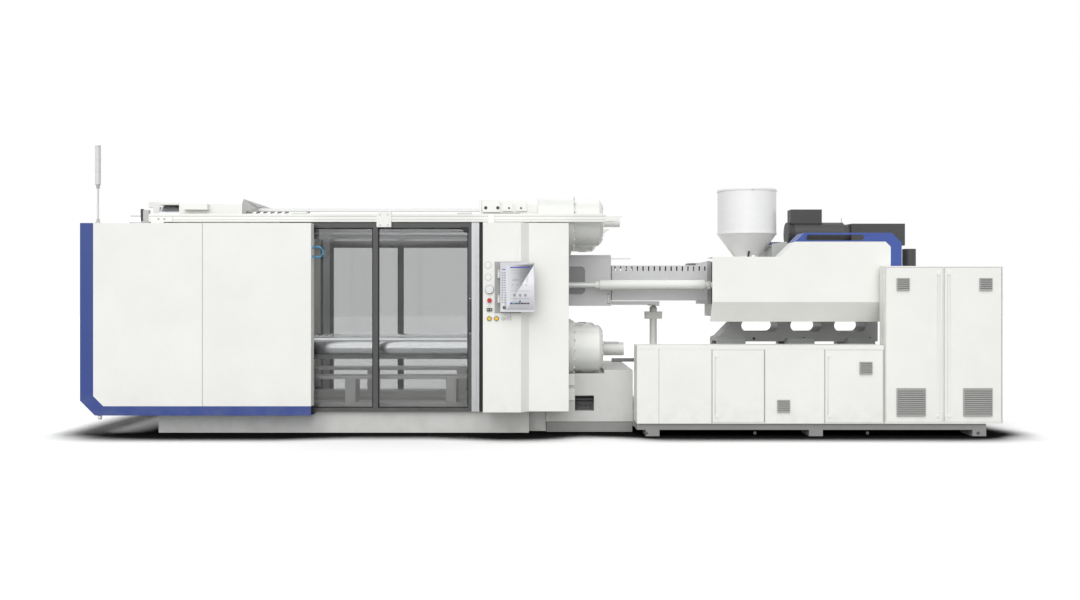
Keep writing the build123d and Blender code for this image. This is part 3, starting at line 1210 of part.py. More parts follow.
def injection_arch():
    """Coloured arch over the tall part of the cover, with a slot in its face."""
    _, bend, arch, right = SHROUD_X
    shoulder, high = SHROUD_Z[2:]
    rise = ARCH_TOP - high
    peak = arch + rise * (arch - bend) / (high - shoulder)
    cut = ARCH_CHAMFER
    points = [(arch, high), (peak, ARCH_TOP), (ARCH_RIGHT - cut, ARCH_TOP), (ARCH_RIGHT, ARCH_TOP - cut)]
    points += [(ARCH_RIGHT, ARCH_BOTTOM), (right, ARCH_BOTTOM)]
    corner = SHROUD_CORNER
    points += [(right, high - corner), (right - corner, high)]
    body = side_plate(points, SHROUD_DEPTH_Y)
    hollow = [(peak + 40, ARCH_TOP - SHEET), (ARCH_RIGHT - cut - 2, ARCH_TOP - SHEET)]
    hollow += [(ARCH_RIGHT - SHEET, ARCH_TOP - cut - 2), (ARCH_RIGHT - SHEET, ARCH_BOTTOM - 1)]
    hollow += [(right + SHEET, ARCH_BOTTOM - 1), (right + SHEET, high - corner + 3)]
    hollow += [(right - corner + 3, high + SHEET), (peak + 20, high + SHEET)]
    body -= side_plate(hollow, (SHEET - SHROUD_Y, SHROUD_DEPTH_Y[1] + 1))
    left, slot_right, low, top = ARCH_SLOT
    through = (-SHROUD_Y - 1, SHEET - SHROUD_Y + 1)
    end = (top - low) / 2
    slot = block((left + end, slot_right - end), through, (low, top))
    for x in (left + end, slot_right - end):
        slot += rod_y(end, x, through, low + end)
    return body - slot


# Cabinets with door leaves that have a rounded hinge edge
FACE = (-COVER_Y, 2 * HINGE_R - COVER_Y)
AXIS_Y = HINGE_R - COVER_Y


def leaf(left, right, low, high, hinge):
    """Door leaf; hinge is -1 when it hangs at its left edge and 1 at its right edge."""
    edge = left + HINGE_R if hinge < 0 else right - HINGE_R
    far = right if hinge < 0 else left
    body = block(sorted((edge, far)), FACE, (low, high)) + rod_z(HINGE_R, edge, AXIS_Y, (low, high))
    lock_x = far + hinge * 45
    for z in (low + 60, high - 60):
        body += rod_y(LATCH_R, lock_x, (FACE[0] - 5, FACE[0] + 1), z)
    for z in ((low - 1, low + PIN_REACH), (high - PIN_REACH, high + 1)):
        body -= rod_z(PIN_R + RUN, edge, AXIS_Y, z)
    return body


def pins(left, right, low, high, hinge, gap):
    """Hinge pins that stand out of the frame into a leaf."""
    edge = left + HINGE_R if hinge < 0 else right - HINGE_R
    lower = rod_z(PIN_R, edge, AXIS_Y, (low - gap - 2, low + PIN_REACH - 2))
    return [lower, rod_z(PIN_R, edge, AXIS_Y, (high - PIN_REACH + 2, high + gap + 2))]


def vent(x, z, width, height):
    """Louvred hood with downward slats."""
    body = block(grow((x, x), width / 2), (-COVER_Y - VENT_T, -COVER_Y), grow((z, z), height / 2))
    pitch = 21.0
    count = int((height - 20) / pitch)
    for i in range(count):
        low = z - height / 2 + 14 + i * pitch
        slat = [(-COVER_Y - VENT_T - 1, low), (-COVER_Y - VENT_T - 1, low + 12), (-COVER_Y - 4, low + 14)]
        slat += [(-COVER_Y - 4, low + 8)]
        body -= end_plate(slat, grow((x, x), width / 2 - 8))
    return body


def bay(index):
    """Limits of the opening of one bay of the base cabinet."""
    return (CAB_SPLITS[index] + CAB_GAP, CAB_SPLITS[index + 1] - CAB_GAP)


CAB_OPEN_Z = (CAB_BOTTOM + 10, CAB_TOP - CAB_LIP - 4)


def base_cabinet(left, right, top, with_doors):
    """Long low cabinet shell beside the ways; its fixed panels are part of the face."""
    depth = (-COVER_Y, CAB_DEPTH - COVER_Y)
    body = block((left, right), depth, (CAB_BOTTOM, top))
    thick = 2 * HINGE_R
    body -= block((left + SHEET, right - SHEET), (thick - COVER_Y, depth[1] + 1), (CAB_BOTTOM + SHEET, top - SHEET))
    for x in CAB_SPLITS[1 if with_doors else 2:-1]:
        body -= block(grow((x, x), 2), (-COVER_Y - 1, 4 - COVER_Y), (CAB_BOTTOM - 1, top - CAB_LIP))
    body -= block((left - 1, right + 1), (-COVER_Y - 1, 4 - COVER_Y), (top - CAB_LIP, top - CAB_LIP + 4))
    if with_doors:
        for index in CAB_DOORS:
            opening = bay(index)
            body -= block(opening, (-COVER_Y - 1, thick - COVER_Y + 1), CAB_OPEN_Z)
            door = grow(opening, -CAB_GAP)
            for pin in pins(*door, CAB_OPEN_Z[0] + 2, CAB_OPEN_Z[1] - 2, 1, 2):
                body += pin
    return body


def base_door(index):
    left, right = grow(bay(index), -CAB_GAP)
    return leaf(left, right, CAB_OPEN_Z[0] + 2, CAB_OPEN_Z[1] - 2, 1)


TALL_OPEN_Z = (CAB_BOTTOM + 14, TALL_TOP - 14)
TALL_BAYS = ((TALL_X[0] + 8, TALL_SPLIT - 6), (TALL_SPLIT + 6, TALL_X[1] - 8))


def tall_cabinet():
    """Control cabinet, shallow at its left where the injection cover reaches behind it."""
    left, right = TALL_X
    step, shallow = TALL_NARROW
    front = -COVER_Y
    deep = front + TALL_DEPTH
    wall = TALL_WALL
    outer = [(left, front), (right, front), (right, deep), (step, deep), (step, front + shallow)]
    outer += [(left, front + shallow)]
    inner = [(left + wall, front + 2 * HINGE_R), (right - wall, front + 2 * HINGE_R), (right - wall, deep - wall)]
    inner += [(step + wall, deep - wall), (step + wall, front + shallow - wall)]
    inner += [(left + wall, front + shallow - wall)]
    body = floor_plan(outer, (CAB_BOTTOM, TALL_TOP)) - floor_plan(inner, (CAB_BOTTOM + wall, TALL_TOP - wall))
    for opening, hinge in zip(TALL_BAYS, (-1, 1)):
        body -= block(opening, (front - 1, front + 2 * HINGE_R + 1), TALL_OPEN_Z)
        door = grow(opening, -CAB_GAP)
        for pin in pins(*door, TALL_OPEN_Z[0] + 2, TALL_OPEN_Z[1] - 2, hinge, 2):
            body += pin
    return body


def tall_door(index):
    left, right = grow(TALL_BAYS[index], -CAB_GAP)
    return leaf(left, right, TALL_OPEN_Z[0] + 2, TALL_OPEN_Z[1] - 2, (-1, 1)[index])


def tall_vents(index):
    small = VENTS_SMALL[index]
    large = VENTS_LARGE[index]
    return [vent(*small, VENT_SMALL, VENT_SMALL), vent(*large, *VENT_LARGE)]


# All nodes
front_zones = door_zones(FRONT_DOOR, 1, DOOR_TOP_BAR)
rear_zones = door_zones(REAR_DOOR, -1, REAR_TOP_BAR)

keep("clamp_bed", clamp_bed())
keep("levelling_pads", *pads(), *middle_pads())
keep("fixed_platen", fixed_platen())
keep("moving_platen", moving_platen())
keep("tie_bars", *[tie_bar(y, z) for y, z in TIE_YZ])
keep("lock_cylinders", *[lock_housing(y, z) for y, z in TIE_YZ], *[lock_cap(y, z) for y, z in TIE_YZ])
keep("split_nuts_front", *[nut_half(y, z, -1) for y, z in TIE_YZ])
keep("split_nuts_rear", *[nut_half(y, z, 1) for y, z in TIE_YZ])
keep("platen_brackets", *nut_guides(), latch_ears(), platen_arm(), terminal_box())
keep("ejector", ejector_plate(), ejector_piston())
keep("ejector_cylinder", ejector_cylinder())
keep("travel_cylinders", *[travel_barrel(y, z) for y, z in TRAVEL_YZ])
keep("travel_rods", *[travel_rod(y, z) for y, z in TRAVEL_YZ])
keep("safety_latch", safety_latch())
keep("fixed_rods", safety_bar(), *[carriage_rod(side) for side in (-1, 1)])
front_cover = side_cover(FRONT_COVER_RIGHT, PANEL_SPLIT)
rear_cover = at_back(side_cover(REAR_COVER_RIGHT, PANEL_SPLIT))
keep("side_covers", front_cover, rear_cover, end_cover())
keep("cover_bands", cover_band(FRONT_COVER_RIGHT), at_back(cover_band(REAR_COVER_RIGHT)))
keep("front_column", front_column())
keep("rear_column", at_back(column(REAR_COLUMN_LEFT, COVER_BOTTOM, -BASE_HALF_W)))
keep("door_rails", *both(rail()), *both(rail_ends()))
keep("guard_posts", *posts(FRONT_STRIKE_X), *[at_back(post) for post in posts(REAR_STRIKE_X)])
for place, zones, turn in (("front", front_zones, False), ("rear", rear_zones, True)):
    hangers = door_hangers(zones, -1 if turn else 1)
    pieces = {"door_frame": [door_frame(zones), door_seal(zones), *hangers],
              "door_glass": door_panes(zones), "door_edge": [door_edge(zones)]}
    for name, solids in pieces.items():
        keep(f"{place}_{name}", *[at_back(solid) if turn else solid for solid in solids])
keep("hmi_panel", hmi_panel(), hmi_screen())
keep("emergency_stop", emergency_stop())
for number, (x, radius) in enumerate(zip(BUTTON_X, BUTTON_R), 1):
    keep(f"push_button_{number}", button(x, BUTTON_Z, radius))
keep("column_fittings", *column_fittings(), gauge(), *bezels(), hmi_bracket())
keep("signal_lamp", lamp_pole(), lamp_tube())
keep("middle_bed", middle_bed(), guard_rails())
keep("nozzle_guard", nozzle_guard())
keep("injection_bed", injection_bed(), *floor_strips(), support_post())
keep("carriage", carriage())
keep("barrel", barrel(), nozzle())
keep("heater_bands", *heater_bands())
keep("screw", screw())
keep("barrel_cover", barrel_cover())
keep("feed_housing", feed_housing())
keep("slide_gate", shutter())
keep("hopper", hopper())
keep("hopper_lid", hopper_lid())
keep("crosshead", crosshead())
keep("unit_cylinders", *injection_cylinders(), *[carriage_cylinder(side) for side in (-1, 1)])
keep("drive_stand", drive_stand())
keep("drive_motor", drive_motor(), gearbox())
keep("injection_covers", injection_cover(None), at_back(injection_cover(SHROUD_REAR)))
keep("injection_arches", *both(injection_arch()))
front_base = base_cabinet(BED_X[0], CAB_RIGHT, CAB_TOP, True)
rear_base = at_back(base_cabinet(REAR_CAB_LEFT, BED_X[1] - 40, REAR_CAB_TOP, False))
keep("base_cabinets", front_base, rear_base, *both(vent(*VENTS_BASE[0], VENT_SMALL, VENT_SMALL)))
keep("base_door_left", base_door(CAB_DOORS[0]))
keep("base_door_right", base_door(CAB_DOORS[1]), vent(*VENTS_BASE[1], VENT_SMALL, VENT_SMALL))
keep("tall_cabinet", tall_cabinet(), cabinet_cooler())
keep("tall_door_left", tall_door(0), *tall_vents(0))
keep("tall_door_right", tall_door(1), *tall_vents(1))

# The footprint's middle is the origin: the operator panel reaches further out than the rear column
SHIFT = Pos(0, (HMI_STAND_OFF + HMI[2]) / 2, 0)
os.makedirs("parts", exist_ok=True)
for name, shape in parts.items():
    export_step(SHIFT * shape, f"parts/{name}.step")
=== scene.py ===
import bpy
import json
from functools import partial
from math import cos, pi, radians, sin
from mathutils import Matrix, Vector

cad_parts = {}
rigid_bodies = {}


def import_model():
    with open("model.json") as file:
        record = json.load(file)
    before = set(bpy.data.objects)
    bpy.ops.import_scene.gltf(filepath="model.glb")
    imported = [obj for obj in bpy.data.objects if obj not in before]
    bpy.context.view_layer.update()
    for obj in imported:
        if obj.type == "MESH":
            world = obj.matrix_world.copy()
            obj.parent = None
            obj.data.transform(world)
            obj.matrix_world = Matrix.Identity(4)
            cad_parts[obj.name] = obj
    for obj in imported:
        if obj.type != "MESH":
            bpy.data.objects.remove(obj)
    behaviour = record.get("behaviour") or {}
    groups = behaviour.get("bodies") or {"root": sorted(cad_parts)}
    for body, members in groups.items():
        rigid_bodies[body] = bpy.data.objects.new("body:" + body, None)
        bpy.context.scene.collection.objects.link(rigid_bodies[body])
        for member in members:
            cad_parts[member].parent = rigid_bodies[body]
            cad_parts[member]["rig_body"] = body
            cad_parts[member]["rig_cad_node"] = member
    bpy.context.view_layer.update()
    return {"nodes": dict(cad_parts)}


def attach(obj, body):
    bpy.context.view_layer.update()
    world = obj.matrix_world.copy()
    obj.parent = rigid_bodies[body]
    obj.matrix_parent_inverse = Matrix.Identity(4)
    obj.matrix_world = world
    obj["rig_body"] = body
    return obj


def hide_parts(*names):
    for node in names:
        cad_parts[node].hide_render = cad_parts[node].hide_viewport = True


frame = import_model()

bl_info = {
    "name": "Injection Moulding Machine",
    "version": (1, 0, 0),
    "blender": (4, 5, 0),
    "location": "3D View > Sidebar > Moulding",
    "description": "Dresses the frame of a two-platen injection moulding machine",
    "category": "Object",
}

# Places that the pieces share, in metres. The centre line lies a little behind the origin.
MID_Y = 0.048
AXIS_Z = 1.535
NOSE_FACE = -1.252
DOOR_MID = -0.952
REAR_DOOR_MID = 2 * MID_Y - DOOR_MID
DOOR_FACE = DOOR_MID - 0.023
REAR_DOOR_FACE = REAR_DOOR_MID + 0.023
PANE_FOOT = 0.272
REAR_FACE = 1.2482
HEATER_BANDS = [0.775 + 0.19 * i for i in range(6)]
CARRIAGE_CYLINDERS = (-0.508, 0.604)
LOUVRE_PITCH = 0.026
TIE_PLACES = [(MID_Y + y, AXIS_Z + z) for y in (-0.665, 0.665) for z in (-0.665, 0.665)]


# Sizes and colours that can be changed in the sidebar
class MachineColours(bpy.types.PropertyGroup):
    body: bpy.props.FloatVectorProperty(
        name="Body paint", description="Off-white powder coat of covers, beds and cabinets",
        size=3, min=0, max=1, subtype="COLOR", default=(0.885, 0.89, 0.855))
    band: bpy.props.FloatVectorProperty(
        name="Band paint", description="Blue of the corner bands",
        size=3, min=0, max=1, subtype="COLOR", default=(0.022, 0.054, 0.250))
    arch: bpy.props.FloatVectorProperty(
        name="Arch paint", description="Blue of the arches over the injection covers",
        size=3, min=0, max=1, subtype="COLOR", default=(0.038, 0.083, 0.345))
    guard: bpy.props.FloatVectorProperty(
        name="Guard paint", description="Grey of the nozzle guard and the barrel cover",
        size=3, min=0, max=1, subtype="COLOR", default=(0.60, 0.605, 0.605))
    glazing: bpy.props.FloatVectorProperty(
        name="Glazing", description="Tint of the door panes",
        size=3, min=0, max=1, subtype="COLOR", default=(0.645, 0.65, 0.65))


class MachineSizes(bpy.types.PropertyGroup):
    sheet_edge: bpy.props.FloatProperty(
        name="Sheet edge", description="Rounding of folded sheet", default=0.002, min=0.0005, max=0.003,
        subtype="DISTANCE", unit="LENGTH")
    screw_radius: bpy.props.FloatProperty(
        name="Cover screw", description="Radius of the socket-head screws on covers",
        default=0.007, min=0.003, max=0.012, subtype="DISTANCE", unit="LENGTH")
    sun_strength: bpy.props.FloatProperty(
        name="Key light", description="Strength of the broad lamp in front of and over the machine",
        default=2.0, min=0.0, max=10.0)


def colours():
    return bpy.context.scene.machine_colours


def sizes():
    return bpy.context.scene.machine_sizes


SHARP = 30  # degrees between faces from which an edge is rounded or drawn sharp
MERGE = 1e-5  # metres within which points of a new mesh are one
CAD_MERGE = 2e-5  # the same for a copy of a node


# Selecting, settling and copying
def pick(*pieces):
    """Select these objects alone; the last one is active."""
    if bpy.context.object and bpy.context.object.mode != "OBJECT":
        bpy.ops.object.mode_set(mode="OBJECT")
    bpy.ops.object.select_all(action="DESELECT")
    for piece in pieces:
        piece.select_set(True)
    if pieces:
        bpy.context.view_layer.objects.active = pieces[-1]


def settle(name):
    """Put the active object's place into its mesh and name it."""
    piece = bpy.context.object
    bpy.ops.object.transform_apply(location=True, rotation=True, scale=True)
    piece.name = name
    piece.data.name = name
    return piece


def outwards():
    """Turn every face of the mesh in hand outwards and leave edit mode."""
    bpy.ops.mesh.select_all(action="SELECT")
    bpy.ops.mesh.normals_make_consistent(inside=False)
    bpy.ops.object.mode_set(mode="OBJECT")


def smooth(piece, angle=SHARP):
    pick(piece)
    bpy.ops.object.shade_smooth_by_angle(angle=radians(angle))
    return piece


def even(piece, angle=SHARP):
    """Shade the large flat faces evenly up to their rounded edges."""
    smooth(piece, angle)
    bpy.ops.object.modifier_add(type="WEIGHTED_NORMAL")
    flat = piece.modifiers[-1]
    flat.keep_sharp = True
    bpy.ops.object.modifier_apply(modifier=flat.name)
    return piece


def round_edges(piece, width, segments=2):
    """Round every sharp edge."""
    pick(piece)
    bpy.ops.object.modifier_add(type="BEVEL")
    bevel = piece.modifiers[-1]
    bevel.width = width
    bevel.segments = segments
    bevel.limit_method = "ANGLE"
    bevel.angle_limit = radians(SHARP)
    bevel.use_clamp_overlap = False
    bpy.ops.object.modifier_apply(modifier=bevel.name)
    return even(piece)


def joined(name, pieces):
    """Many copies as one piece."""
    pick(*pieces)
    if len(pieces) > 1:
        bpy.ops.object.join()
    return settle(name)


def copies(source, steps):
    """A piece and its copies, each with its own mesh, moved from it by each step."""
    made = [source]
    for step in steps:
        pick(source)
        bpy.ops.object.duplicate()
        twin = bpy.context.object
        twin.location = step
        bpy.ops.object.transform_apply(location=True, rotation=False, scale=False)
        made.append(twin)
    return made


def mirrored(piece):
    """A copy on the other side of the centre line, with its faces turned outwards again."""
    pick(piece)
    bpy.ops.object.duplicate()
    twin = bpy.context.object
    twin.scale = (1, -1, 1)
    twin.location = (0, 2 * MID_Y, 0)
    bpy.ops.object.transform_apply(location=True, rotation=True, scale=True)
    bpy.ops.object.mode_set(mode="EDIT")
    outwards()
    return twin


def both_sides(pieces):
    """The pieces and their copies on the other side of the centre line."""
    return pieces + [mirrored(piece) for piece in pieces]


# Shapes
def plate(low, high, edge=0.002, segments=2):
    """Block between two corners with rounded edges."""
    pick()
    middle = [(a + b) / 2 for a, b in zip(low, high)]
    size = [b - a for a, b in zip(low, high)]
    bpy.ops.mesh.primitive_cube_add(size=1, location=middle, scale=size)
    piece = settle("plate")
    return round_edges(piece, min(edge, 0.45 * min(size)), segments) if edge else piece


def turn_to(direction):
    """Euler angles that lay the Z axis along a direction."""
    return Vector(direction).to_track_quat("Z", "Y").to_euler()


def rod(start, end, radius, sides=32, edge=0.0):
    """Round bar between two points."""
    pick()
    start, end = Vector(start), Vector(end)
    bpy.ops.mesh.primitive_cylinder_add(vertices=sides, radius=radius, depth=(end - start).length,
                                        location=(start + end) / 2, rotation=turn_to(end - start))
    piece = settle("rod")
    return round_edges(piece, edge) if edge else smooth(piece)


def lathe(rings, at, along=(0, -1, 0), sides=40):
    """Turned shape: rings are (distance, radius), drawn out from the start along an axis."""
    pick()
    distance, radius = rings[0]
    bpy.ops.mesh.primitive_circle_add(vertices=sides, radius=radius, fill_type="NOTHING",
                                      location=(0, 0, distance))
    bpy.ops.object.mode_set(mode="EDIT")
    bpy.ops.mesh.select_all(action="SELECT")
    for next_distance, next_radius in rings[1:]:
        step = (0, 0, next_distance - distance)
        bpy.ops.mesh.extrude_region_move(TRANSFORM_OT_translate={"value": step})
        ratio = next_radius / radius
        bpy.ops.transform.resize(value=(ratio, ratio, 1), center_override=(0, 0, next_distance))
        distance, radius = next_distance, next_radius
    bpy.ops.mesh.select_all(action="SELECT")
    bpy.ops.mesh.remove_doubles(threshold=MERGE)
    bpy.ops.mesh.fill_holes(sides=0)
    outwards()
    piece = bpy.context.object
    piece.location = at
    piece.rotation_euler = turn_to(along)
    return smooth(settle("turned"))


def outline_plate(points, near, far, edge):
    """Outline of (x, z) points, filled and drawn out from one depth to another."""
    pick()
    mesh = bpy.data.meshes.new("outline")
    mesh.from_pydata([(x, near, z) for x, z in points], [], [range(len(points))])
    piece = bpy.data.objects.new("outline", mesh)
    bpy.context.scene.collection.objects.link(piece)
    pick(piece)
    bpy.ops.object.mode_set(mode="EDIT")
    bpy.ops.mesh.select_all(action="SELECT")
    bpy.ops.mesh.extrude_region_move(TRANSFORM_OT_translate={"value": (0, far - near, 0)})
    outwards()
    return round_edges(piece, edge)


def pipe(points, radius, bend):
    """Round tube along straight runs with rounded bends."""
    points = [Vector(point) for point in points]
    path = [points[0]]
    for before, corner, after in zip(points, points[1:], points[2:]):
        start = corner + (before - corner).normalized() * bend
        end = corner + (after - corner).normalized() * bend
        for step in range(7):
            share = step / 6
            path.append((1 - share) ** 2 * start + 2 * share * (1 - share) * corner + share ** 2 * end)
    path.append(points[-1])
    pick()
    curve = bpy.data.curves.new("pipe", "CURVE")
    curve.dimensions = "3D"
    curve.bevel_depth = radius
    curve.bevel_resolution = 4
    curve.use_fill_caps = True
    line = curve.splines.new("POLY")
    line.points.add(len(path) - 1)
    for knot, point in zip(line.points, path):
        knot.co = (*point, 1)
    piece = bpy.data.objects.new("pipe", curve)
    bpy.context.scene.collection.objects.link(piece)
    pick(piece)
    bpy.ops.object.convert(target="MESH")
    piece = bpy.context.object
    bpy.ops.object.mode_set(mode="EDIT")
    bpy.ops.mesh.select_all(action="SELECT")
    bpy.ops.mesh.remove_doubles(threshold=MERGE)
    outwards()
    return smooth(settle("pipe"))


def heads(places, along, radius, height, sides=14):
    """Socket-head screws, modelled once and copied to the other places."""
    rings = ((0, radius), (height * 0.8, radius), (height, radius * 0.86), (height, radius * 0.5),
             (height * 0.4, radius * 0.45))
    first = lathe(rings, places[0], along, sides)
    return copies(first, [Vector(place) - Vector(places[0]) for place in places[1:]])


def circle(centre, radius, count, across="X", start=0.0):
    """Places round a centre, in the plane across an axis."""
    one, two = [i for i in range(3) if i != "XYZ".index(across)]
    places = []
    for step in range(count):
        place = list(centre)
        place[one] += radius * cos(start + 2 * pi * step / count)
        place[two] += radius * sin(start + 2 * pi * step / count)
        places.append(place)
    return places


def tinted(piece, material, low, high):
    """Give the faces inside a box another material."""
    piece.data.materials.append(MATERIALS[material])
    index = len(piece.data.materials) - 1
    for face in piece.data.polygons:
        if all(a <= b <= c for a, b, c in zip(low, face.center, high)):
            face.material_index = index
    return piece


def built(name, pieces, material, slot="white_paint", body="frame"):
    """Join the copies of a detail and finish it."""
    return finish(joined(name, pieces), body, MATERIALS[material])


def finish(piece, body, material):
    """Give a piece its material and its body."""
    piece.data.materials.clear()
    piece.data.materials.append(material)
    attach(piece, body)
    return piece


def body_of(node):
    return frame["nodes"][node]["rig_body"]


def dressed(node, width, material):
    """Copy of a node with its triangles merged and its edges rounded, which stands for the node."""
    pick(frame["nodes"][node])
    bpy.ops.object.duplicate()
    piece = bpy.context.object
    del piece["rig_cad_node"]
    piece.parent = None
    piece.name = node + "_dressed"
    bpy.ops.mesh.customdata_custom_splitnormals_clear()
    bpy.ops.object.mode_set(mode="EDIT")
    bpy.ops.mesh.select_all(action="SELECT")
    bpy.ops.mesh.remove_doubles(threshold=CAD_MERGE)
    bpy.ops.object.mode_set(mode="OBJECT")
    round_edges(piece, width)
    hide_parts(node)
    return finish(piece, body_of(node), material)


# Shader node groups
def new_group(name, inputs, outputs):
    """Empty node group with its sockets; each socket is (name, type, default)."""
    group = bpy.data.node_groups.new(name, "ShaderNodeTree")
    for way, rows in (("INPUT", inputs), ("OUTPUT", outputs)):
        for label, kind, default in rows:
            socket = group.interface.new_socket(name=label, in_out=way, socket_type="NodeSocket" + kind)
            if default is not None:
                socket.default_value = default
    start = group.nodes.new("NodeGroupInput")
    end = group.nodes.new("NodeGroupOutput")
    return group, start.outputs, end.inputs


def linked(tree, source, socket):
    """Feed a socket from another socket or with a plain number."""
    if hasattr(source, "links"):
        tree.links.new(source, socket)
    else:
        socket.default_value = source


def worked(tree, operation, first, second):
    """Result of a sum on two values."""
    node = tree.nodes.new("ShaderNodeMath")
    node.operation = operation
    linked(tree, first, node.inputs[0])
    linked(tree, second, node.inputs[1])
    return node.outputs[0]


def place(tree):
    return tree.nodes.new("ShaderNodeTexCoord").outputs["Object"]


def noise(tree, where, scale, detail):
    node = tree.nodes.new("ShaderNodeTexNoise")
    node.inputs["Scale"].default_value = scale
    node.inputs["Detail"].default_value = detail
    tree.links.new(where, node.inputs["Vector"])
    return node.outputs["Fac"]


def span(tree, value, low, high, to_low=0.0, to_high=1.0):
    """A value stretched from one range to another, with its ends held."""
    node = tree.nodes.new("ShaderNodeMapRange")
    for label, number in (("From Min", low), ("From Max", high), ("To Min", to_low), ("To Max", to_high)):
        node.inputs[label].default_value = number
    tree.links.new(value, node.inputs["Value"])
    return node.outputs["Result"]


def mixed(tree, factor, first, second, blend="MIX"):
    """Two colours mixed; each is a socket or a colour."""
    node = tree.nodes.new("ShaderNodeMix")
    node.data_type = "RGBA"
    node.blend_type = blend
    linked(tree, factor, node.inputs[0])
    for index, source in ((6, first), (7, second)):
        linked(tree, source if hasattr(source, "links") else (*source, 1), node.inputs[index])
    return node.outputs[2]


def bumped(tree, height, strength, distance):
    node = tree.nodes.new("ShaderNodeBump")
    node.inputs["Distance"].default_value = distance
    tree.links.new(height, node.inputs["Height"])
    tree.links.new(strength, node.inputs["Strength"])
    return node.outputs["Normal"]


def shaded(tree, colour, tone):
    """A colour darkened by a value."""
    tint = tree.nodes.new("ShaderNodeCombineColor")
    for channel in ("Red", "Green", "Blue"):
        tree.links.new(tone, tint.inputs[channel])
    return mixed(tree, 1.0, colour, tint.outputs["Color"], "MULTIPLY")


def coat_group():
    """Powder coat: faint mottling, dust low down and an orange-peel surface."""
    group, start, end = new_group(
        "Powder coat",
        [("Colour", "Color", (1, 1, 1, 1)), ("Gloss", "Float", 0.4), ("Peel", "Float", 0.1),
         ("Dust", "Float", 0.3)],
        [("Colour", "Color", None), ("Roughness", "Float", None), ("Normal", "Vector", None)])
    where = place(group)
    mottle = span(group, noise(group, where, 2.2, 4), 0.3, 0.7, 0.955, 1.0)
    speckle = span(group, noise(group, where, 260, 2), 0.35, 0.65, 0.965, 1.02)
    painted = shaded(group, start["Colour"], worked(group, "MULTIPLY", mottle, speckle))
    split = group.nodes.new("ShaderNodeSeparateXYZ")
    group.links.new(where, split.inputs[0])
    low = span(group, split.outputs["Z"], 0.02, 0.5, 1.0, 0.0)
    patch = span(group, noise(group, where, 7, 5), 0.4, 0.75)
    dust = worked(group, "MULTIPLY", worked(group, "MULTIPLY", low, patch), start["Dust"])
    group.links.new(mixed(group, dust, painted, (0.42, 0.40, 0.36)), end["Colour"])
    change = span(group, noise(group, where, 30, 3), 0.3, 0.7, -0.04, 0.06)
    group.links.new(worked(group, "ADD", start["Gloss"], change), end["Roughness"])
    group.links.new(bumped(group, noise(group, where, 420, 2), start["Peel"], 0.0004), end["Normal"])
    return group


def turned_group():
    """Turned or ground metal: fine marks across the length, with the direction given by a stretch."""
    group, start, end = new_group(
        "Machined marks",
        [("Colour", "Color", (1, 1, 1, 1)), ("Stretch", "Vector", (1, 1, 1)), ("Roughness", "Float", 0.2),
         ("Marks", "Float", 0.1)],
        [("Colour", "Color", None), ("Roughness", "Float", None), ("Normal", "Vector", None)])
    scaled = group.nodes.new("ShaderNodeVectorMath")
    scaled.operation = "MULTIPLY"
    group.links.new(place(group), scaled.inputs[0])
    group.links.new(start["Stretch"], scaled.inputs[1])
    marks = noise(group, scaled.outputs[0], 1.0, 4)
    tone = span(group, marks, 0.3, 0.7, 0.88, 1.04)
    group.links.new(shaded(group, start["Colour"], tone), end["Colour"])
    change = span(group, marks, 0.3, 0.7, -0.05, 0.08)
    group.links.new(worked(group, "ADD", start["Roughness"], change), end["Roughness"])
    group.links.new(bumped(group, marks, start["Marks"], 0.0003), end["Normal"])
    return group


GROUPS = {}


def shader(name, **values):
    """Material with one Principled shader; values name its sockets."""
    material = bpy.data.materials.new(name)
    material.use_nodes = True
    tree = material.node_tree
    tree.nodes.clear()
    out = tree.nodes.new("ShaderNodeOutputMaterial")
    principled = tree.nodes.new("ShaderNodeBsdfPrincipled")
    tree.links.new(principled.outputs["BSDF"], out.inputs["Surface"])
    for label, value in values.items():
        principled.inputs[label.replace("_", " ")].default_value = value
    return material, tree, principled


def grouped(name, group_name, values, **shader_values):
    """Material whose colour, roughness and normal come from a shared group."""
    material, tree, principled = shader(name, **shader_values)
    node = tree.nodes.new("ShaderNodeGroup")
    node.node_tree = GROUPS[group_name]
    for label, value in values.items():
        node.inputs[label].default_value = value
    for label, socket in (("Colour", "Base Color"), ("Roughness", "Roughness"), ("Normal", "Normal")):
        tree.links.new(node.outputs[label], principled.inputs[socket])
    return material


def paint(name, colour, gloss=0.38, peel=0.12, dust=0.25, **more):
    values = {"Colour": (*colour, 1), "Gloss": gloss, "Peel": peel, "Dust": dust}
    return grouped(name, "coat", values, **more)


def metal(name, colour, stretch, roughness=0.22, marks=0.15):
    values = {"Colour": (*colour, 1), "Stretch": stretch, "Roughness": roughness, "Marks": marks}
    return grouped(name, "marks", values, Metallic=1.0)


def plain(name, colour, roughness=0.5, **more):
    """Moulded plastic, rubber or enamel with a faint change of gloss over the surface."""
    material, tree, principled = shader(name, Base_Color=(*colour, 1), **more)
    rough = span(tree, noise(tree, place(tree), 60, 3), 0.3, 0.7, roughness - 0.05, roughness + 0.06)
    tree.links.new(rough, principled.inputs["Roughness"])
    return material


MATERIALS = {}


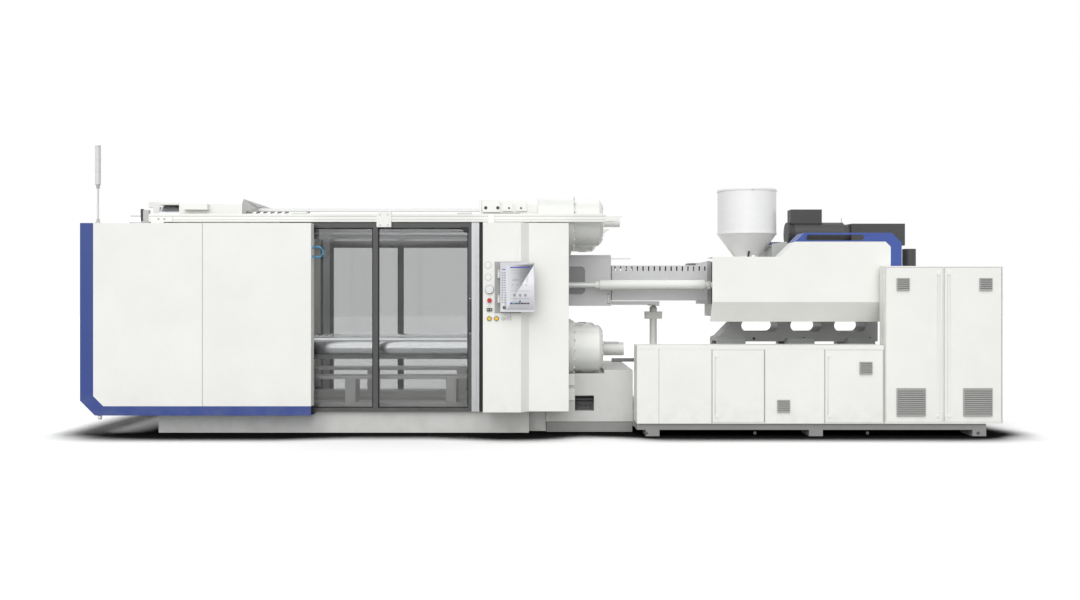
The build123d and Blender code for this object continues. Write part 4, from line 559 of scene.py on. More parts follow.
def make_materials():
    tones = colours()
    GROUPS["coat"] = coat_group()
    GROUPS["marks"] = turned_group()
    across = (900, 4, 4)
    MATERIALS.update(
        white=paint("body_paint", tones.body),
        white_cast=paint("casting_paint", tones.body, 0.42, 0.35, 0.3),
        # Painted shade: the beds take the body paint darkened, for beds that sit low in the shadow of the
        # covers
        bed=paint("bed_paint_darkened_for_shade", (0.62, 0.625, 0.605), 0.45, 0.2, 0.4),
        band=paint("band_paint", tones.band, 0.32, 0.1, 0.2),
        arch=paint("arch_paint", tones.arch, 0.32, 0.1, 0.0),
        frame_grey=paint("door_frame_paint", (0.060, 0.061, 0.061), 0.36, 0.1, 0.2),
        guard=paint("guard_paint", tones.guard, 0.35, 0.08, 0.0),
        cast=paint("machine_grey", (0.50, 0.51, 0.50), 0.4, 0.35, 0.2),
        cylinder=paint("cylinder_enamel", (0.78, 0.79, 0.76), 0.3, 0.05, 0.0, Coat_Weight=0.2),
        black=paint("motor_black", (0.046, 0.046, 0.047), 0.5, 0.3, 0.0),
        # Grey of vents and louvres, also used for painted shade: dark strips where shadows and shading
        # lines fall
        vent=paint("vent_and_painted_shade_grey", (0.38, 0.38, 0.37), 0.4, 0.1, 0.1),
        panel=paint("panel_housing", (0.66, 0.665, 0.70), 0.34, 0.08, 0.0),
        chrome=metal("hard_chrome", (0.60, 0.61, 0.62), across, 0.16, 0.05),
        bright=plain("bright_steel", (0.62, 0.63, 0.62), 0.35, Metallic=0.25),
        hopper=paint("hopper_steel", (0.90, 0.90, 0.90), 0.3, 0.02, 0.0),
        smoke=plain("smoked_pane", (0.25, 0.25, 0.25), 0.2),
        # Painted shade: dark grey for the recessed plinths under the beds, which lie in the shade of what
        # is above them
        plinth=paint("plinth_grey", (0.27, 0.27, 0.265), 0.5, 0.1, 0.2),
        steel=metal("machined_steel", (0.50, 0.51, 0.52), (70, 70, 70), 0.32, 0.2),
        barrel=metal("barrel_steel", (0.42, 0.41, 0.40), across, 0.38, 0.2),
        polished=metal("gate_steel", (0.90, 0.905, 0.91), (7, 7, 0.15), 0.22, 0.02),
        aluminium=metal("drawn_aluminium", (0.46, 0.47, 0.475), (300, 300, 3), 0.38, 0.1),
        zinc=metal("zinc_screws", (0.55, 0.55, 0.54), (120, 120, 120), 0.35, 0.1),
        rubber=plain("seal_rubber", (0.012, 0.012, 0.013), 0.7),
        dark=plain("dark_plastic", (0.025, 0.026, 0.028), 0.45),
        grey_plastic=plain("grey_plastic", (0.40, 0.41, 0.42), 0.45),
        lamp=plain("lamp_tube", (0.80, 0.81, 0.79), 0.35, Transmission_Weight=0.15),
        pale=plain("pale_plastic", (0.72, 0.72, 0.70), 0.35),
        red=plain("stop_red", (0.62, 0.008, 0.008), 0.4),
        yellow=plain("button_yellow", (0.85, 0.52, 0.03), 0.35),
        glass=shader("door_glazing", Base_Color=(*tones.glazing, 1), Roughness=0.03,
                     Transmission_Weight=1.0, IOR=1.45)[0],
        display=shader("display_glass", Base_Color=(0.74, 0.75, 0.78, 1), Roughness=0.25)[0],
        ink=plain("display_ink", (0.05, 0.06, 0.08), 0.4),
        blue=plain("display_blue", (0.045, 0.065, 0.40), 0.3),
        teal=plain("display_teal", (0.03, 0.30, 0.34), 0.3),
        faint=plain("display_grey", (0.36, 0.37, 0.40), 0.35),
        key_grey=plain("key_grey", (0.30, 0.31, 0.34), 0.45),
        hose_blue=plain("hose_blue", (0.05, 0.25, 0.42), 0.35),
    )


# Nodes shown as they are, and nodes shown with rounded edges: share of the sheet edge, material
CAD_FINISH = {
    "levelling_pads": "frame_grey", "travel_rods": "chrome", "travel_cylinders": "white_cast",
    "split_nuts_front": "steel", "split_nuts_rear": "steel", "ejector": "steel",
    "ejector_cylinder": "black", "safety_latch": "steel", "fixed_rods": "bright",
    "front_door_glass": "glass", "rear_door_glass": "glass", "tie_bars": "chrome", "barrel": "barrel",
    "heater_bands": "barrel", "screw": "chrome", "slide_gate": "polished", "hopper": "hopper",
    "hopper_lid": "hopper", "unit_cylinders": "cylinder", "emergency_stop": "red",
    "push_button_1": "yellow", "push_button_2": "yellow", "push_button_3": "pale",
    "push_button_4": "pale", "signal_lamp": "lamp",
}
DRESSED = {
    "clamp_bed": (3, "bed"), "fixed_platen": (3, "white_cast"), "moving_platen": (3, "white_cast"),
    "platen_brackets": (1, "white"), "lock_cylinders": (2, "cylinder"), "side_covers": (1, "white"),
    "cover_bands": (1, "band"), "front_column": (1, "white"), "rear_column": (1, "white"),
    "door_rails": (1, "white"), "guard_posts": (1, "white"), "front_door_frame": (1, "frame_grey"),
    "rear_door_frame": (1, "frame_grey"), "front_door_edge": (0.5, "aluminium"),
    "rear_door_edge": (0.5, "aluminium"), "hmi_panel": (0.5, "panel"),
    "column_fittings": (0.5, "grey_plastic"),
    "middle_bed": (2, "bed"), "nozzle_guard": (1, "guard"), "injection_bed": (2, "bed"),
    "carriage": (3, "cast"), "barrel_cover": (1, "guard"), "feed_housing": (2, "white_cast"),
    "crosshead": (3, "cast"), "drive_stand": (2, "cast"), "drive_motor": (1.5, "black"),
    "injection_covers": (1, "white"), "injection_arches": (1, "arch"), "base_cabinets": (1, "white"),
    "base_door_left": (1, "white"), "base_door_right": (1, "white"), "tall_cabinet": (1, "white"),
    "tall_door_left": (1, "white"), "tall_door_right": (1, "white"),
}


# Vents in the cabinets: x and z of the middle, half width and half height
BASE_VENTS = ((2.443, 0.310, 0.063, 0.063), (3.274, 0.694, 0.063, 0.063))
TALL_VENTS = ((3.649, 1.539, 0.063, 0.063), (3.730, 0.350, 0.145, 0.142), (4.484, 1.539, 0.063, 0.063),
              (4.403, 0.350, 0.145, 0.142))
VENT_FRONT, VENT_BACK = -1.171, -1.1522
SCREEN_FACE = -1.348
SCREEN_DEPTH = 0.0012
SCREEN_SHARP = 15


def vent_box(x, z, half_width, half_height):
    wide, high = half_width + 0.001, half_height + 0.001
    return "vent", (x - wide, VENT_FRONT, z - high), (x + wide, VENT_BACK, z + high)


# Parts of a node that have a finish of their own: material, lowest and highest corner
TINTS = {
    "tall_cabinet": [("black", (3.81, -0.73, 1.7235), (3.96, -0.57, 1.93))],
    "tall_door_left": [vent_box(*place) for place in TALL_VENTS[:2]],
    "tall_door_right": [vent_box(*place) for place in TALL_VENTS[2:]],
    "base_cabinets": [vent_box(*BASE_VENTS[0]),
                      ("vent", (2.379, REAR_FACE, 0.246), (2.507, 1.267, 0.374))],
    "base_door_right": [vent_box(*BASE_VENTS[1])],
    "front_door_frame": [("white", (-2.7, -1.01, 2.1775), (-0.7, -0.9, 2.29)),
                         ("white", (-2.7, -1.01, 2.12), (-0.7, -0.9755, 2.18)),
                         ("rubber", (-0.6385, -0.98, 0.2), (-0.6, -0.92, 2.18))],
    "rear_door_frame": [("white", (-2.6, 1.0, 2.1775), (-0.8, 1.11, 2.29)),
                        ("white", (-2.6, 1.0715, 2.12), (-0.8, 1.11, 2.18)),
                        ("rubber", (-2.69, 1.02, 0.2), (-2.6525, 1.08, 2.18))],
    "hmi_panel": [("display", (-0.3475, -1.3485, 1.2875), (-0.0745, -1.3447, 1.7285))],
    "column_fittings": [("white", (-0.57, -1.256, 1.57), (-0.49, -1.25, 1.77)),
                        ("dark", (-0.55, -1.267, 1.26), (-0.49, -1.25, 1.305)),
                        ("frame_grey", (-0.563, -1.275, 1.44), (-0.477, -1.25, 1.53)),
                        # The bracket behind the operator panel: its own dark grey, made darker as painted
                        # shade for the gap behind the panel
                        ("vent", (-0.47, -1.293, 1.25), (-0.2, -1.25, 1.77))],
    "middle_bed": [("cast", (-0.05, -0.38, 1.31), (1.29, 0.48, 1.37))],
    "injection_bed": [("white", (1.15, -0.2, 0.83), (1.36, 0.3, 1.32)),
                      # Painted shade: the bottom strip of the cabinets is dark grey for the shade under
                      # them
                      ("plinth", (0.9, -1.2, -0.01), (4.6, 1.3, 0.132))],
    "feed_housing": [("frame_grey", (1.80, -0.6, 1.33), (1.8535, 0.7, 1.81))],
    "barrel_cover": [("vent", (1.7975, -0.38, 1.33), (1.843, 0.475, 1.81))],
}


class PieceGroup:
    """What the operators share: each builds its pieces and reports that it is done."""

    def execute(self, context):
        self.build()
        return {"FINISHED"}


class MACHINE_OT_frame(PieceGroup, bpy.types.Operator):
    """Give every node of the frame its finish and round the edges of sheet and castings"""
    bl_idname = "machine.frame"
    bl_label = "Frame finishes"

    def build(self):
        make_materials()
        for node, material in CAD_FINISH.items():
            for slot in frame["nodes"][node].material_slots:
                slot.material = MATERIALS[material]
        for node, (share, material) in DRESSED.items():
            piece = dressed(node, share * sizes().sheet_edge, MATERIALS[material])
            for tint, low, high in TINTS.get(node, ()):
                tinted(piece, tint, low, high)
            if node == "hmi_panel":
                self.sink_screen(piece)

    def sink_screen(self, panel):
        """Set the screen back by the thickness of what it shows."""
        for vertex in panel.data.vertices:
            if vertex.co.y < SCREEN_FACE + 2 * SCREEN_DEPTH / 3:
                vertex.co.y += SCREEN_DEPTH
        pick(panel)
        bpy.ops.mesh.customdata_custom_splitnormals_clear()
        even(panel, SCREEN_SHARP)


class MACHINE_OT_lamp(PieceGroup, bpy.types.Operator):
    """Foot, rings and collar of the signal lamp"""
    bl_idname = "machine.lamp"
    bl_label = "Signal lamp"

    def build(self):
        x, y = -4.511, -1.072
        flange = [lathe(((0, 0.034), (0.006, 0.034), (0.010, 0.020), (0.045, 0.014), (0.05, 0.0102)),
                        (x, y, 2.158), (0, 0, 1), 32)]
        built("lamp_foot", flange, "cast", "lamp_plastic")
        rings = [lathe(((0, 0.0275), (0.001, 0.0295), (0.007, 0.0295), (0.008, 0.0275)), (x, y, z),
                       (0, 0, 1), 32) for z in (2.552, 2.680, 2.808, 2.936)]
        built("lamp_rings", rings, "pale", "lamp_plastic")
        collar = rod((x, y, 2.515), (x, y, 2.551), 0.018, 24, 0.003)
        built("lamp_collar", [collar], "cast", "lamp_plastic")


class MACHINE_OT_covers(PieceGroup, bpy.types.Operator):
    """Louvres, seam and screws of the end cover, a guide roller under it and the air line"""
    bl_idname = "machine.covers"
    bl_label = "Clamp covers"

    def build(self):
        for side, y in (("front", -0.50), ("rear", 0.59)):
            slat = plate((-4.659, y - 0.19, 1.50), (-4.650, y + 0.19, 1.508), 0.002)
            slats = copies(slat, [(0, 0, LOUVRE_PITCH * i) for i in range(1, 13)])
            edge = [plate((-4.6595, y + low - 0.008, 1.475), (-4.6475, y + low + 0.008, 1.845), 0.002)
                    for low in (-0.2, 0.2)]
            built(f"end_louvre_{side}", slats + edge, "vent")
        seam = [plate((-4.6585, 0.046, 0.34), (-4.6465, 0.050, 2.12), 0.0)]
        built("end_cover_seam", seam, "dark")
        places = [(-4.6525, y, z) for z in (0.40, 1.23, 2.06) for y in (-0.93, 0.0, 0.096, 1.026)]
        built("end_cover_screws", heads(places, (-1, 0, 0), sizes().screw_radius, 0.005), "zinc")
        roller = [rod((-4.482, -1.13, 0.192), (-4.452, -1.13, 0.192), 0.021, 28, 0.003),
                  plate((-4.488, -1.138, 0.19), (-4.446, -1.122, 0.236), 0.003)]
        built("cover_guide", roller, "pale")
        hose = pipe(((-2.37, -1.075, 1.905), (-2.25, -1.075, 1.925), (-2.205, -1.075, 1.86),
                     (-2.26, -1.075, 1.805), (-2.37, -1.075, 1.835)), 0.011, 0.04)
        clamp = plate((-2.40, -1.146, 1.80), (-2.36, -1.06, 1.93), 0.004)
        built("air_line", [hose], "hose_blue", "fitting_plastic")
        built("air_line_clamp", [clamp], "cast", "fitting_plastic")


class MACHINE_OT_rails(PieceGroup, bpy.types.Operator):
    """Lips and painted shade lines along the door rails, their stops, the limit switch, and the clamps on
    the fixed platen with a painted shadow under them
    """
    bl_idname = "machine.rails"
    bl_label = "Door rails"

    def build(self):
        lips = [plate((-4.02, -0.9937, z), (0.655, -0.9915, z + 0.012), 0.001) for z in (2.250, 2.183)]
        built("rail_lips", both_sides(lips), "white")
        # Painted shade: dark strips along the rail for the shading lines of its rounded profile
        shade_lines = [plate((-4.02, -0.9928, z), (0.655, -0.9915, z + 0.004), 0.0) for z in (2.236, 2.200)]
        built("rail_painted_shade_lines", both_sides(shade_lines), "vent")
        switch = [plate((-4.09, -0.975, 2.19), (-4.03, -0.925, 2.305), 0.004),
                  plate((-4.10, -0.985, 2.17), (-4.02, -0.915, 2.19), 0.003)]
        built("rail_switch", switch, "cast", "fitting_plastic")
        face = [plate((-4.117, -0.972, 2.185), (-4.09, -0.928, 2.315), 0.004)]
        built("rail_switch_head", face, "dark", "fitting_plastic")
        stop = [plate((-4.00, -1.004, 2.18), (-3.78, -0.992, 2.232), 0.003),
                plate((-4.00, -1.004, 2.166), (-3.868, -0.93, 2.18), 0.002)]
        built("rail_stop", stop, "white")
        slots = [plate((x, -1.005, 2.20), (x + 0.02, -1.0035, 2.216), 0.0) for x in (-3.93, -3.87)]
        built("rail_stop_slots", slots, "vent")
        clamps = [plate((-0.547, -1.006, 2.172), (-0.481, -0.992, 2.262), 0.003),
                  plate((-0.611, -0.874, 2.288), (-0.43, -0.852, 2.425), 0.004),
                  plate((-0.405, -0.866, 2.30), (-0.295, -0.852, 2.41), 0.004),
                  plate((-0.27, -0.866, 2.30), (-0.15, -0.852, 2.41), 0.004),
                  plate((-0.648, -0.84, 2.27), (-0.622, -0.80, 2.425), 0.003)]
        built("platen_pads", clamps, "white")
        # Painted shadow: a dark strip under the first pad on the fixed platen
        shade = [plate((-0.60, -0.905, 2.266), (-0.222, -0.852, 2.282), 0.002)]
        built("platen_painted_shadow", shade, "vent")
        wide = ((0, 0.017), (0.003, 0.017), (0.003, 0.010), (0.001, 0.009))
        small = ((0, 0.010), (0.003, 0.010), (0.003, 0.006), (0.001, 0.005))
        holes = [lathe(wide, (x, -0.874, 2.335), (0, -1, 0), 24) for x in (-0.577, -0.452)]
        holes += [lathe(small, (x, -0.866, 2.333), (0, -1, 0), 24) for x in (-0.336, -0.212)]
        built("platen_pad_holes", holes, "dark")


class MACHINE_OT_doors(PieceGroup, bpy.types.Operator):
    """Gaskets round the panes, edge ribs, handles, locks and hanger screws of the sliding doors"""
    bl_idname = "machine.doors"
    bl_label = "Sliding doors"

    def build(self):
        self.gaskets("front_door", DOOR_MID, ((-2.656, -1.729), (-1.678, -0.751)), 2.121)
        self.gaskets("rear_door", REAR_DOOR_MID, ((-2.540, -1.738), (-1.687, -0.884)), 2.027)
        self.edge("front_door", -0.717, DOOR_FACE, -1)
        self.edge("rear_door", -2.653, REAR_DOOR_FACE, 1)
        self.handle("front_door", -0.734, DOOR_FACE, -1)
        self.handle("rear_door", -2.557, REAR_DOOR_FACE, 1)
        self.screws("front_door", (-1.688,), -1)
        self.screws("rear_door", (-2.574, -1.697, -1.000), 1)
        lock = [plate((-0.631, -0.984, 1.164), (-0.606, -0.969, 1.292), 0.003),
                rod((-0.618, -0.988, 1.20), (-0.618, -0.984, 1.20), 0.006, 16),
                rod((-0.618, -0.988, 1.256), (-0.618, -0.984, 1.256), 0.006, 16)]
        built("door_lock", lock, "rubber", "grey_paint", "front_door")
        guard_switch = [plate((-0.80, -0.992, 2.075), (-0.752, -0.975, 2.128), 0.003),
                        plate((-0.83, -0.985, 2.10), (-0.80, -0.975, 2.128), 0.002)]
        built("door_switch", guard_switch, "rubber", "grey_paint", "front_door")

    def gaskets(self, body, y, panes, pane_top):
        strips = []
        for left, right in panes:
            for face in (y - 0.007, y + 0.007):
                near, far = face - 0.003, face + 0.003
                strips += [plate((x - 0.007, near, PANE_FOOT), (x + 0.007, far, pane_top), 0.001)
                           for x in (left + 0.004, right - 0.004)]
                strips += [plate((left, near, h - 0.007), (right, far, h + 0.007), 0.001)
                           for h in (PANE_FOOT + 0.004, pane_top - 0.004)]
        built(body + "_gaskets", strips, "rubber", "grey_paint", body)

    def edge(self, body, left, face, side):
        near, far = sorted((face, face + side * 0.003))
        ribs = [plate((left + x, near, 0.236), (left + x + 0.011, far, 2.175), 0.001)
                for x in (0.004, 0.034, 0.064)]
        built(body + "_edge_ribs", ribs, "aluminium", "drawn_aluminium", body)

    def handle(self, body, x, face, side):
        out = face + side * 0.02
        bar = pipe(((x, face, 1.06), (x, out, 1.06), (x, out, 1.37), (x, face, 1.37)), 0.007, 0.014)
        built(body + "_handle", [bar], "frame_grey", "grey_paint", body)
        ends = heads([(x, face + side * 0.001, z) for z in (1.035, 1.395)], (0, side, 0), 0.006, 0.005)
        built(body + "_handle_screws", ends, "zinc", "grey_paint", body)

    def screws(self, body, lefts, side):
        face = (DOOR_MID if side < 0 else REAR_DOOR_MID) + side * 0.051
        places = [(left + x, face, z) for left in lefts for x in (0.035, 0.115) for z in (2.150, 2.255)]
        screws = heads(places, (0, side, 0), 0.009, 0.006)
        built(body + "_hanger_screws", screws, "pale", "grey_paint", body)


class MACHINE_OT_operator_panel(PieceGroup, bpy.types.Operator):
    """Keys, knob, picture on the screen and hinges of the operator panel"""
    bl_idname = "machine.operator_panel"
    bl_label = "Operator panel"

    def build(self):
        face, back = SCREEN_FACE, SCREEN_FACE + SCREEN_DEPTH
        part = partial(built, slot="panel_housing", body="operator_panel")
        rows = [1.649 - 0.0244 * i for i in range(13)]
        keys = [plate((x - 0.008, face, z - 0.006), (x + 0.008, face + 0.005, z + 0.006), 0.002)
                for z in rows for x in (-0.386, -0.362)]
        part("panel_keys", keys, "key_grey")
        label = [plate((-0.392, face + 0.001, 1.678), (-0.356, face + 0.004, 1.687), 0.001)]
        part("panel_stripe", label, "blue")
        knob = [lathe(((0.0, 0.017), (0.0022, 0.017), (0.0024, 0.015), (0.0024, 0.0)),
                      (-0.370, face + 0.0030, 1.306), (0, -1, 0), 32)]
        part("panel_knob", knob, "frame_grey")
        top = [plate((-0.3715, face + 0.0002, 1.306), (-0.3685, face + 0.002, 1.322), 0.0)]
        part("panel_knob_mark", top, "pale")
        self.screen(part, face, back)
        hinges = [rod((-0.424, -1.326, z), (-0.424, -1.326, z + 0.062), 0.013, 24, 0.002)
                  for z in (1.598, 1.352)]
        part("panel_hinges", hinges, "pale")
        backplate = [plate((-0.404, -1.290, 1.270), (-0.075, -1.286, 1.746), 0.003)]
        part("panel_back", backplate, "frame_grey")

    def screen(self, part, face, back):
        """Plain picture of bars, marks and dials, without words."""
        def tile(x, z, material_parts):
            material_parts.append(plate((x[0], face, z[0]), (x[1], back + 0.0005, z[1]), 0.0))

        blue, ink, faint, teal = [], [], [], []
        tile((-0.311, -0.118), (1.697, 1.708), blue)
        tile((-0.222, -0.204), (1.360, 1.375), blue)
        tile((-0.311, -0.287), (1.340, 1.354), blue)
        tile((-0.284, -0.268), (1.340, 1.354), teal)
        for i in range(5):
            tile((-0.264 + 0.0295 * i, -0.238 + 0.0295 * i), (1.340, 1.354), ink)
        for i in range(10):
            tile((-0.302 + 0.0185 * i, -0.295 + 0.0185 * i), (1.669, 1.675), faint)
        for i, tall in enumerate((0.010, 0.018, 0.013, 0.022, 0.014, 0.019, 0.011, 0.016)):
            tile((-0.287 + 0.011 * i, -0.279 + 0.011 * i), (1.571, 1.571 + tall), faint)
        for i in range(4):
            tile((-0.295 + 0.046 * i, -0.283 + 0.046 * i), (1.524, 1.534), faint)
            tile((-0.150, -0.132), (1.560 + 0.018 * i, 1.564 + 0.018 * i), faint)
        for z in (1.648, 1.470, 1.395):
            tile((-0.311, -0.118), (z, z + 0.0018), faint)
        for i in range(6):
            tile((-0.300 + 0.031 * i, -0.286 + 0.031 * i), (1.300, 1.303), faint)
        for i in range(3):
            faint.append(lathe(((0, 0.014), (0.0011, 0.014), (0.0011, 0.0115), (0, 0.0115)),
                               (-0.266 + 0.053 * i, back, 1.428), (0, -1, 0), 32))
        part("screen_blue", blue, "blue")
        part("screen_teal", teal, "teal")
        part("screen_ink", ink, "ink")
        part("screen_marks", faint, "faint")


class MACHINE_OT_switches(PieceGroup, bpy.types.Operator):
    """Rings, dial and collars round the switches on the column, and painted shadow strips round the
    operator panel
    """
    bl_idname = "machine.switches"
    bl_label = "Column switches"

    def build(self):
        face = NOSE_FACE
        part = partial(built, slot="fitting_plastic")
        rings = [lathe(((0, 0.0345), (0.004, 0.0345), (0.004, 0.0315), (0.001, 0.0315)),
                       (-0.534, face, z), (0, -1, 0), 40) for z in (1.730, 1.610)]
        part("plug_rings", rings, "vent")
        dial = [lathe(((0, 0.0358), (0.009, 0.0358), (0.009, 0.0)), (-0.52, face, 1.486), (0, -1, 0), 40)]
        part("gauge_dial", dial, "aluminium")
        marks = [plate((-0.5215, -1.2635, 1.478), (-0.5185, -1.261, 1.510), 0.0),
                 lathe(((0, 0.007), (0.004, 0.006), (0.004, 0)), (-0.52, -1.261, 1.486), (0, -1, 0), 20)]
        for x, y, z in circle((-0.52, -1.261, 1.486), 0.028, 10, "Y", 0.3):
            marks.append(plate((x - 0.002, y - 0.0008, z - 0.002), (x + 0.002, y, z + 0.002), 0.0))
        part("gauge_marks", marks, "ink")
        rim = [lathe(((0, 0.0362), (0.001, 0.0395), (0.002, 0.0395), (0.002, 0.0362)),
                     (-0.52, -1.2735, 1.486), (0, -1, 0), 40)]
        part("gauge_rim", rim, "steel")
        contacts = [plate((x - 0.007, -1.268, 1.276), (x + 0.007, -1.265, 1.292), 0.002)
                    for x in (-0.534, -0.506)]
        part("socket_contacts", contacts, "grey_plastic")
        ring = ((0, 0.0235), (0.003, 0.0235), (0.004, 0.0222), (0.004, 0.0205), (0.0005, 0.0205))
        collars = [lathe(ring, (x, -1.2555, z), (0, -1, 0), 32)
                   for x, z in ((-0.522, 1.194), (-0.450, 1.194), (-0.52, 1.376))]
        part("switch_collars", collars, "dark")
        # Painted shadow: dark strips along the left, top and bottom of the recess, where the operator
        # panel shades the column
        recess_shadow = [plate((-0.468, -1.262, 1.252), (-0.452, -1.2518, 1.762), 0.001),
                  plate((-0.468, -1.256, 1.757), (-0.205, -1.2518, 1.764), 0.001),
                  plate((-0.468, -1.256, 1.250), (-0.205, -1.2518, 1.257), 0.001)]
        part("panel_recess", recess_shadow, "vent")


class MACHINE_OT_lock_cylinders(PieceGroup, bpy.types.Operator):
    """Screws and end discs of the lock cylinders, and the bar over the lower front one"""
    bl_idname = "machine.lock_cylinders"
    bl_label = "Lock cylinders"

    def build(self):
        size = 2 * sizes().screw_radius
        for number, (y, z) in enumerate(TIE_PLACES, 1):
            bolts = heads(circle((0.337, y, z), 0.271, 16), (1, 0, 0), size, 0.014)
            bolts += heads(circle((0.635, y, z), 0.178, 10, start=0.3), (1, 0, 0), size, 0.014)
            built(f"lock_screws_{number}", bolts, "cylinder")
        rings = ((0, 0.150), (0.010, 0.150), (0.012, 0.146), (0.012, 0))
        disc = [lathe(rings, (0.635, y, z), (1, 0, 0), 48) for y, z in TIE_PLACES]
        built("lock_end_discs", disc, "cylinder")
        bar = [plate((0.642, -0.64, 0.913), (0.818, -0.60, 0.94), 0.004),
               plate((0.635, -0.66, 0.90), (0.655, -0.58, 0.95), 0.003)]
        built("lock_pipe_bar", bar, "cast")


class MACHINE_OT_middle_bed(PieceGroup, bpy.types.Operator):
    """Couplings, a skirt painted dark grey for the shade under the bed, plates and cable tray of the bed
    between the units
    """
    bl_idname = "machine.middle_bed"
    bl_label = "Middle bed"

    def build(self):
        back = both_sides([plate((0.352, -0.688, 0.226), (0.546, -0.6825, 0.381), 0.001)])
        built("pocket_backs", back, "frame_grey")
        block = [rod((0.354, -0.73, 0.338), (0.544, -0.73, 0.338), 0.021, 24, 0.003),
                 plate((0.356, -0.72, 0.352), (0.46, -0.689, 0.378), 0.003),
                 lathe(((0, 0.020), (0.05, 0.020), (0.054, 0.016), (0.07, 0.016), (0.07, 0)),
                       (0.376, -0.689, 0.272), (0, -1, 0), 24)]
        port = ((0, 0.010), (0.02, 0.010), (0.022, 0.008), (0.022, 0))
        block += [lathe(port, (x, -0.689, 0.272), (0, -1, 0), 18) for x in (0.42, 0.465, 0.51)]
        built("pocket_couplings", both_sides(block), "dark")
        plates = [plate((0.18, -0.814, z), (0.345, -0.8035, z + 0.122), 0.003) for z in (0.336, 0.491)]
        built("bed_plates", plates, "white")
        # Painted shade: the skirt is dark grey for the shade under the bed
        skirt = both_sides([plate((0.052, -0.794, 0.004), (0.949, -0.7835, 0.1115), 0.003)])
        built("bed_skirt", skirt, "plinth")
        tray = [plate((0.833, 0.66, 0.6505), (1.105, 0.72, 0.692), 0.004)]
        built("bed_cable_tray", tray, "cast")


class MACHINE_OT_nozzle_guard(PieceGroup, bpy.types.Operator):
    """Panes, handles, folded edges and guide rod of the nozzle guard"""
    bl_idname = "machine.nozzle_guard"
    bl_label = "Nozzle guard"

    def build(self):
        part = partial(built, slot="guard_paint", body="nozzle_guard")
        pane = both_sides([plate((0.292, -0.3835, 1.43), (0.482, -0.3800, 1.754), 0.001)])
        part("guard_panes", pane, "smoke")
        strip = [plate((-0.018, -0.3955, 1.842), (0.751, -0.3922, 1.866), 0.001),
                 plate((0.744, -0.3945, 1.32), (0.7525, -0.3922, 1.842), 0.001)]
        part("guard_folds", both_sides(strip), "guard")
        grip = both_sides([plate((0.7165, -0.399, 1.345), (0.7365, -0.386, 1.441), 0.006, 3)])
        part("guard_grips", grip, "pale")
        rods = [rod((0.60, -0.372, 1.829), (0.969, -0.372, 1.829), 0.006, 16, 0.001)]
        part("guard_guides", rods, "steel")
        places = [(x, -0.3925, 1.333) for x in (0.03, 0.21, 0.39, 0.57)]
        part("guard_screws", both_sides(heads(places, (0, -1, 0), 0.007, 0.004)), "zinc")


class MACHINE_OT_injection_unit(PieceGroup, bpy.types.Operator):
    """Collars and clevises of the cylinders, band heater clamps, and fittings on the carriage"""
    bl_idname = "machine.injection_unit"
    bl_label = "Injection unit"

    def build(self):
        collar = ((0, 0.026), (0.002, 0.040), (0.046, 0.040), (0.050, 0.054), (0.066, 0.054), (0.066, 0))
        band = ((0, 0.0545), (0.002, 0.0565), (0.043, 0.0565), (0.045, 0.0545))
        collars, clevis = [], []
        for y in CARRIAGE_CYLINDERS:
            collars += [lathe(rings, (x, y, 1.54), (1, 0, 0), 32)
                        for rings, x in ((collar, 0.573), (band, 1.700))]
            clevis += [plate((1.772, cheek - 0.008, 1.498), (1.808, cheek + 0.008, 1.582), 0.004)
                       for cheek in (y - 0.024, y + 0.024)]
            clevis.append(rod((1.788, y - 0.040, 1.54), (1.788, y + 0.040, 1.54), 0.015, 24, 0.003))
        built("cylinder_collars", collars, "cylinder", body="carriage")
        built("cylinder_clevises", clevis, "bright", body="carriage")
        clamps = []
        for x in HEATER_BANDS:
            clamps += [plate((x - 0.05, MID_Y - 0.012, 1.672), (x + 0.05, MID_Y + 0.012, 1.692), 0.002),
                       rod((x, MID_Y - 0.028, 1.684), (x, MID_Y + 0.028, 1.684), 0.006, 14)]
        built("heater_clamps", clamps, "steel", "barrel_steel", "carriage")
        boxes = [plate((x - 0.03, MID_Y - 0.018, 1.692), (x + 0.03, MID_Y + 0.018, 1.722), 0.004)
                 for x in HEATER_BANDS]
        built("heater_boxes", boxes, "pale", "barrel_steel", "carriage")
        fittings = [lathe(((0, 0.014), (0.012, 0.014), (0.014, 0.010), (0.026, 0.010), (0.026, 0)),
                          (x, -0.138, 0.955), (0, -1, 0), 24) for x in (2.35, 2.90, 3.63)]
        built("carriage_fittings", fittings, "dark", "cast_paint", "carriage")


class MACHINE_OT_hopper(PieceGroup, bpy.types.Operator):
    """Foot ring, sight slot and lid handle of the hopper"""
    bl_idname = "machine.hopper"
    bl_label = "Hopper"

    def build(self):
        x = 2.308
        slot = rod((2.297, -0.096, 1.864), (2.297, -0.142, 1.916), 0.012, 16, 0.003)
        built("hopper_sight", [slot], "frame_grey", "hopper_steel", "carriage")
        rings = ((0, 0.118), (0.002, 0.122), (0.016, 0.122), (0.018, 0.118))
        ring = lathe(rings, (x, MID_Y, 1.806), (0, 0, 1), 40)
        built("hopper_foot_ring", [ring], "bright", "hopper_steel", "carriage")
        left, right = x - 0.06, x + 0.06
        path = [(x, -0.16, z) for x, z in ((left, 2.610), (left, 2.617), (right, 2.617), (right, 2.610))]
        grip = [pipe(path, 0.005, 0.003)]
        built("hopper_lid_grip", grip, "bright", "hopper_steel", "hopper_lid")


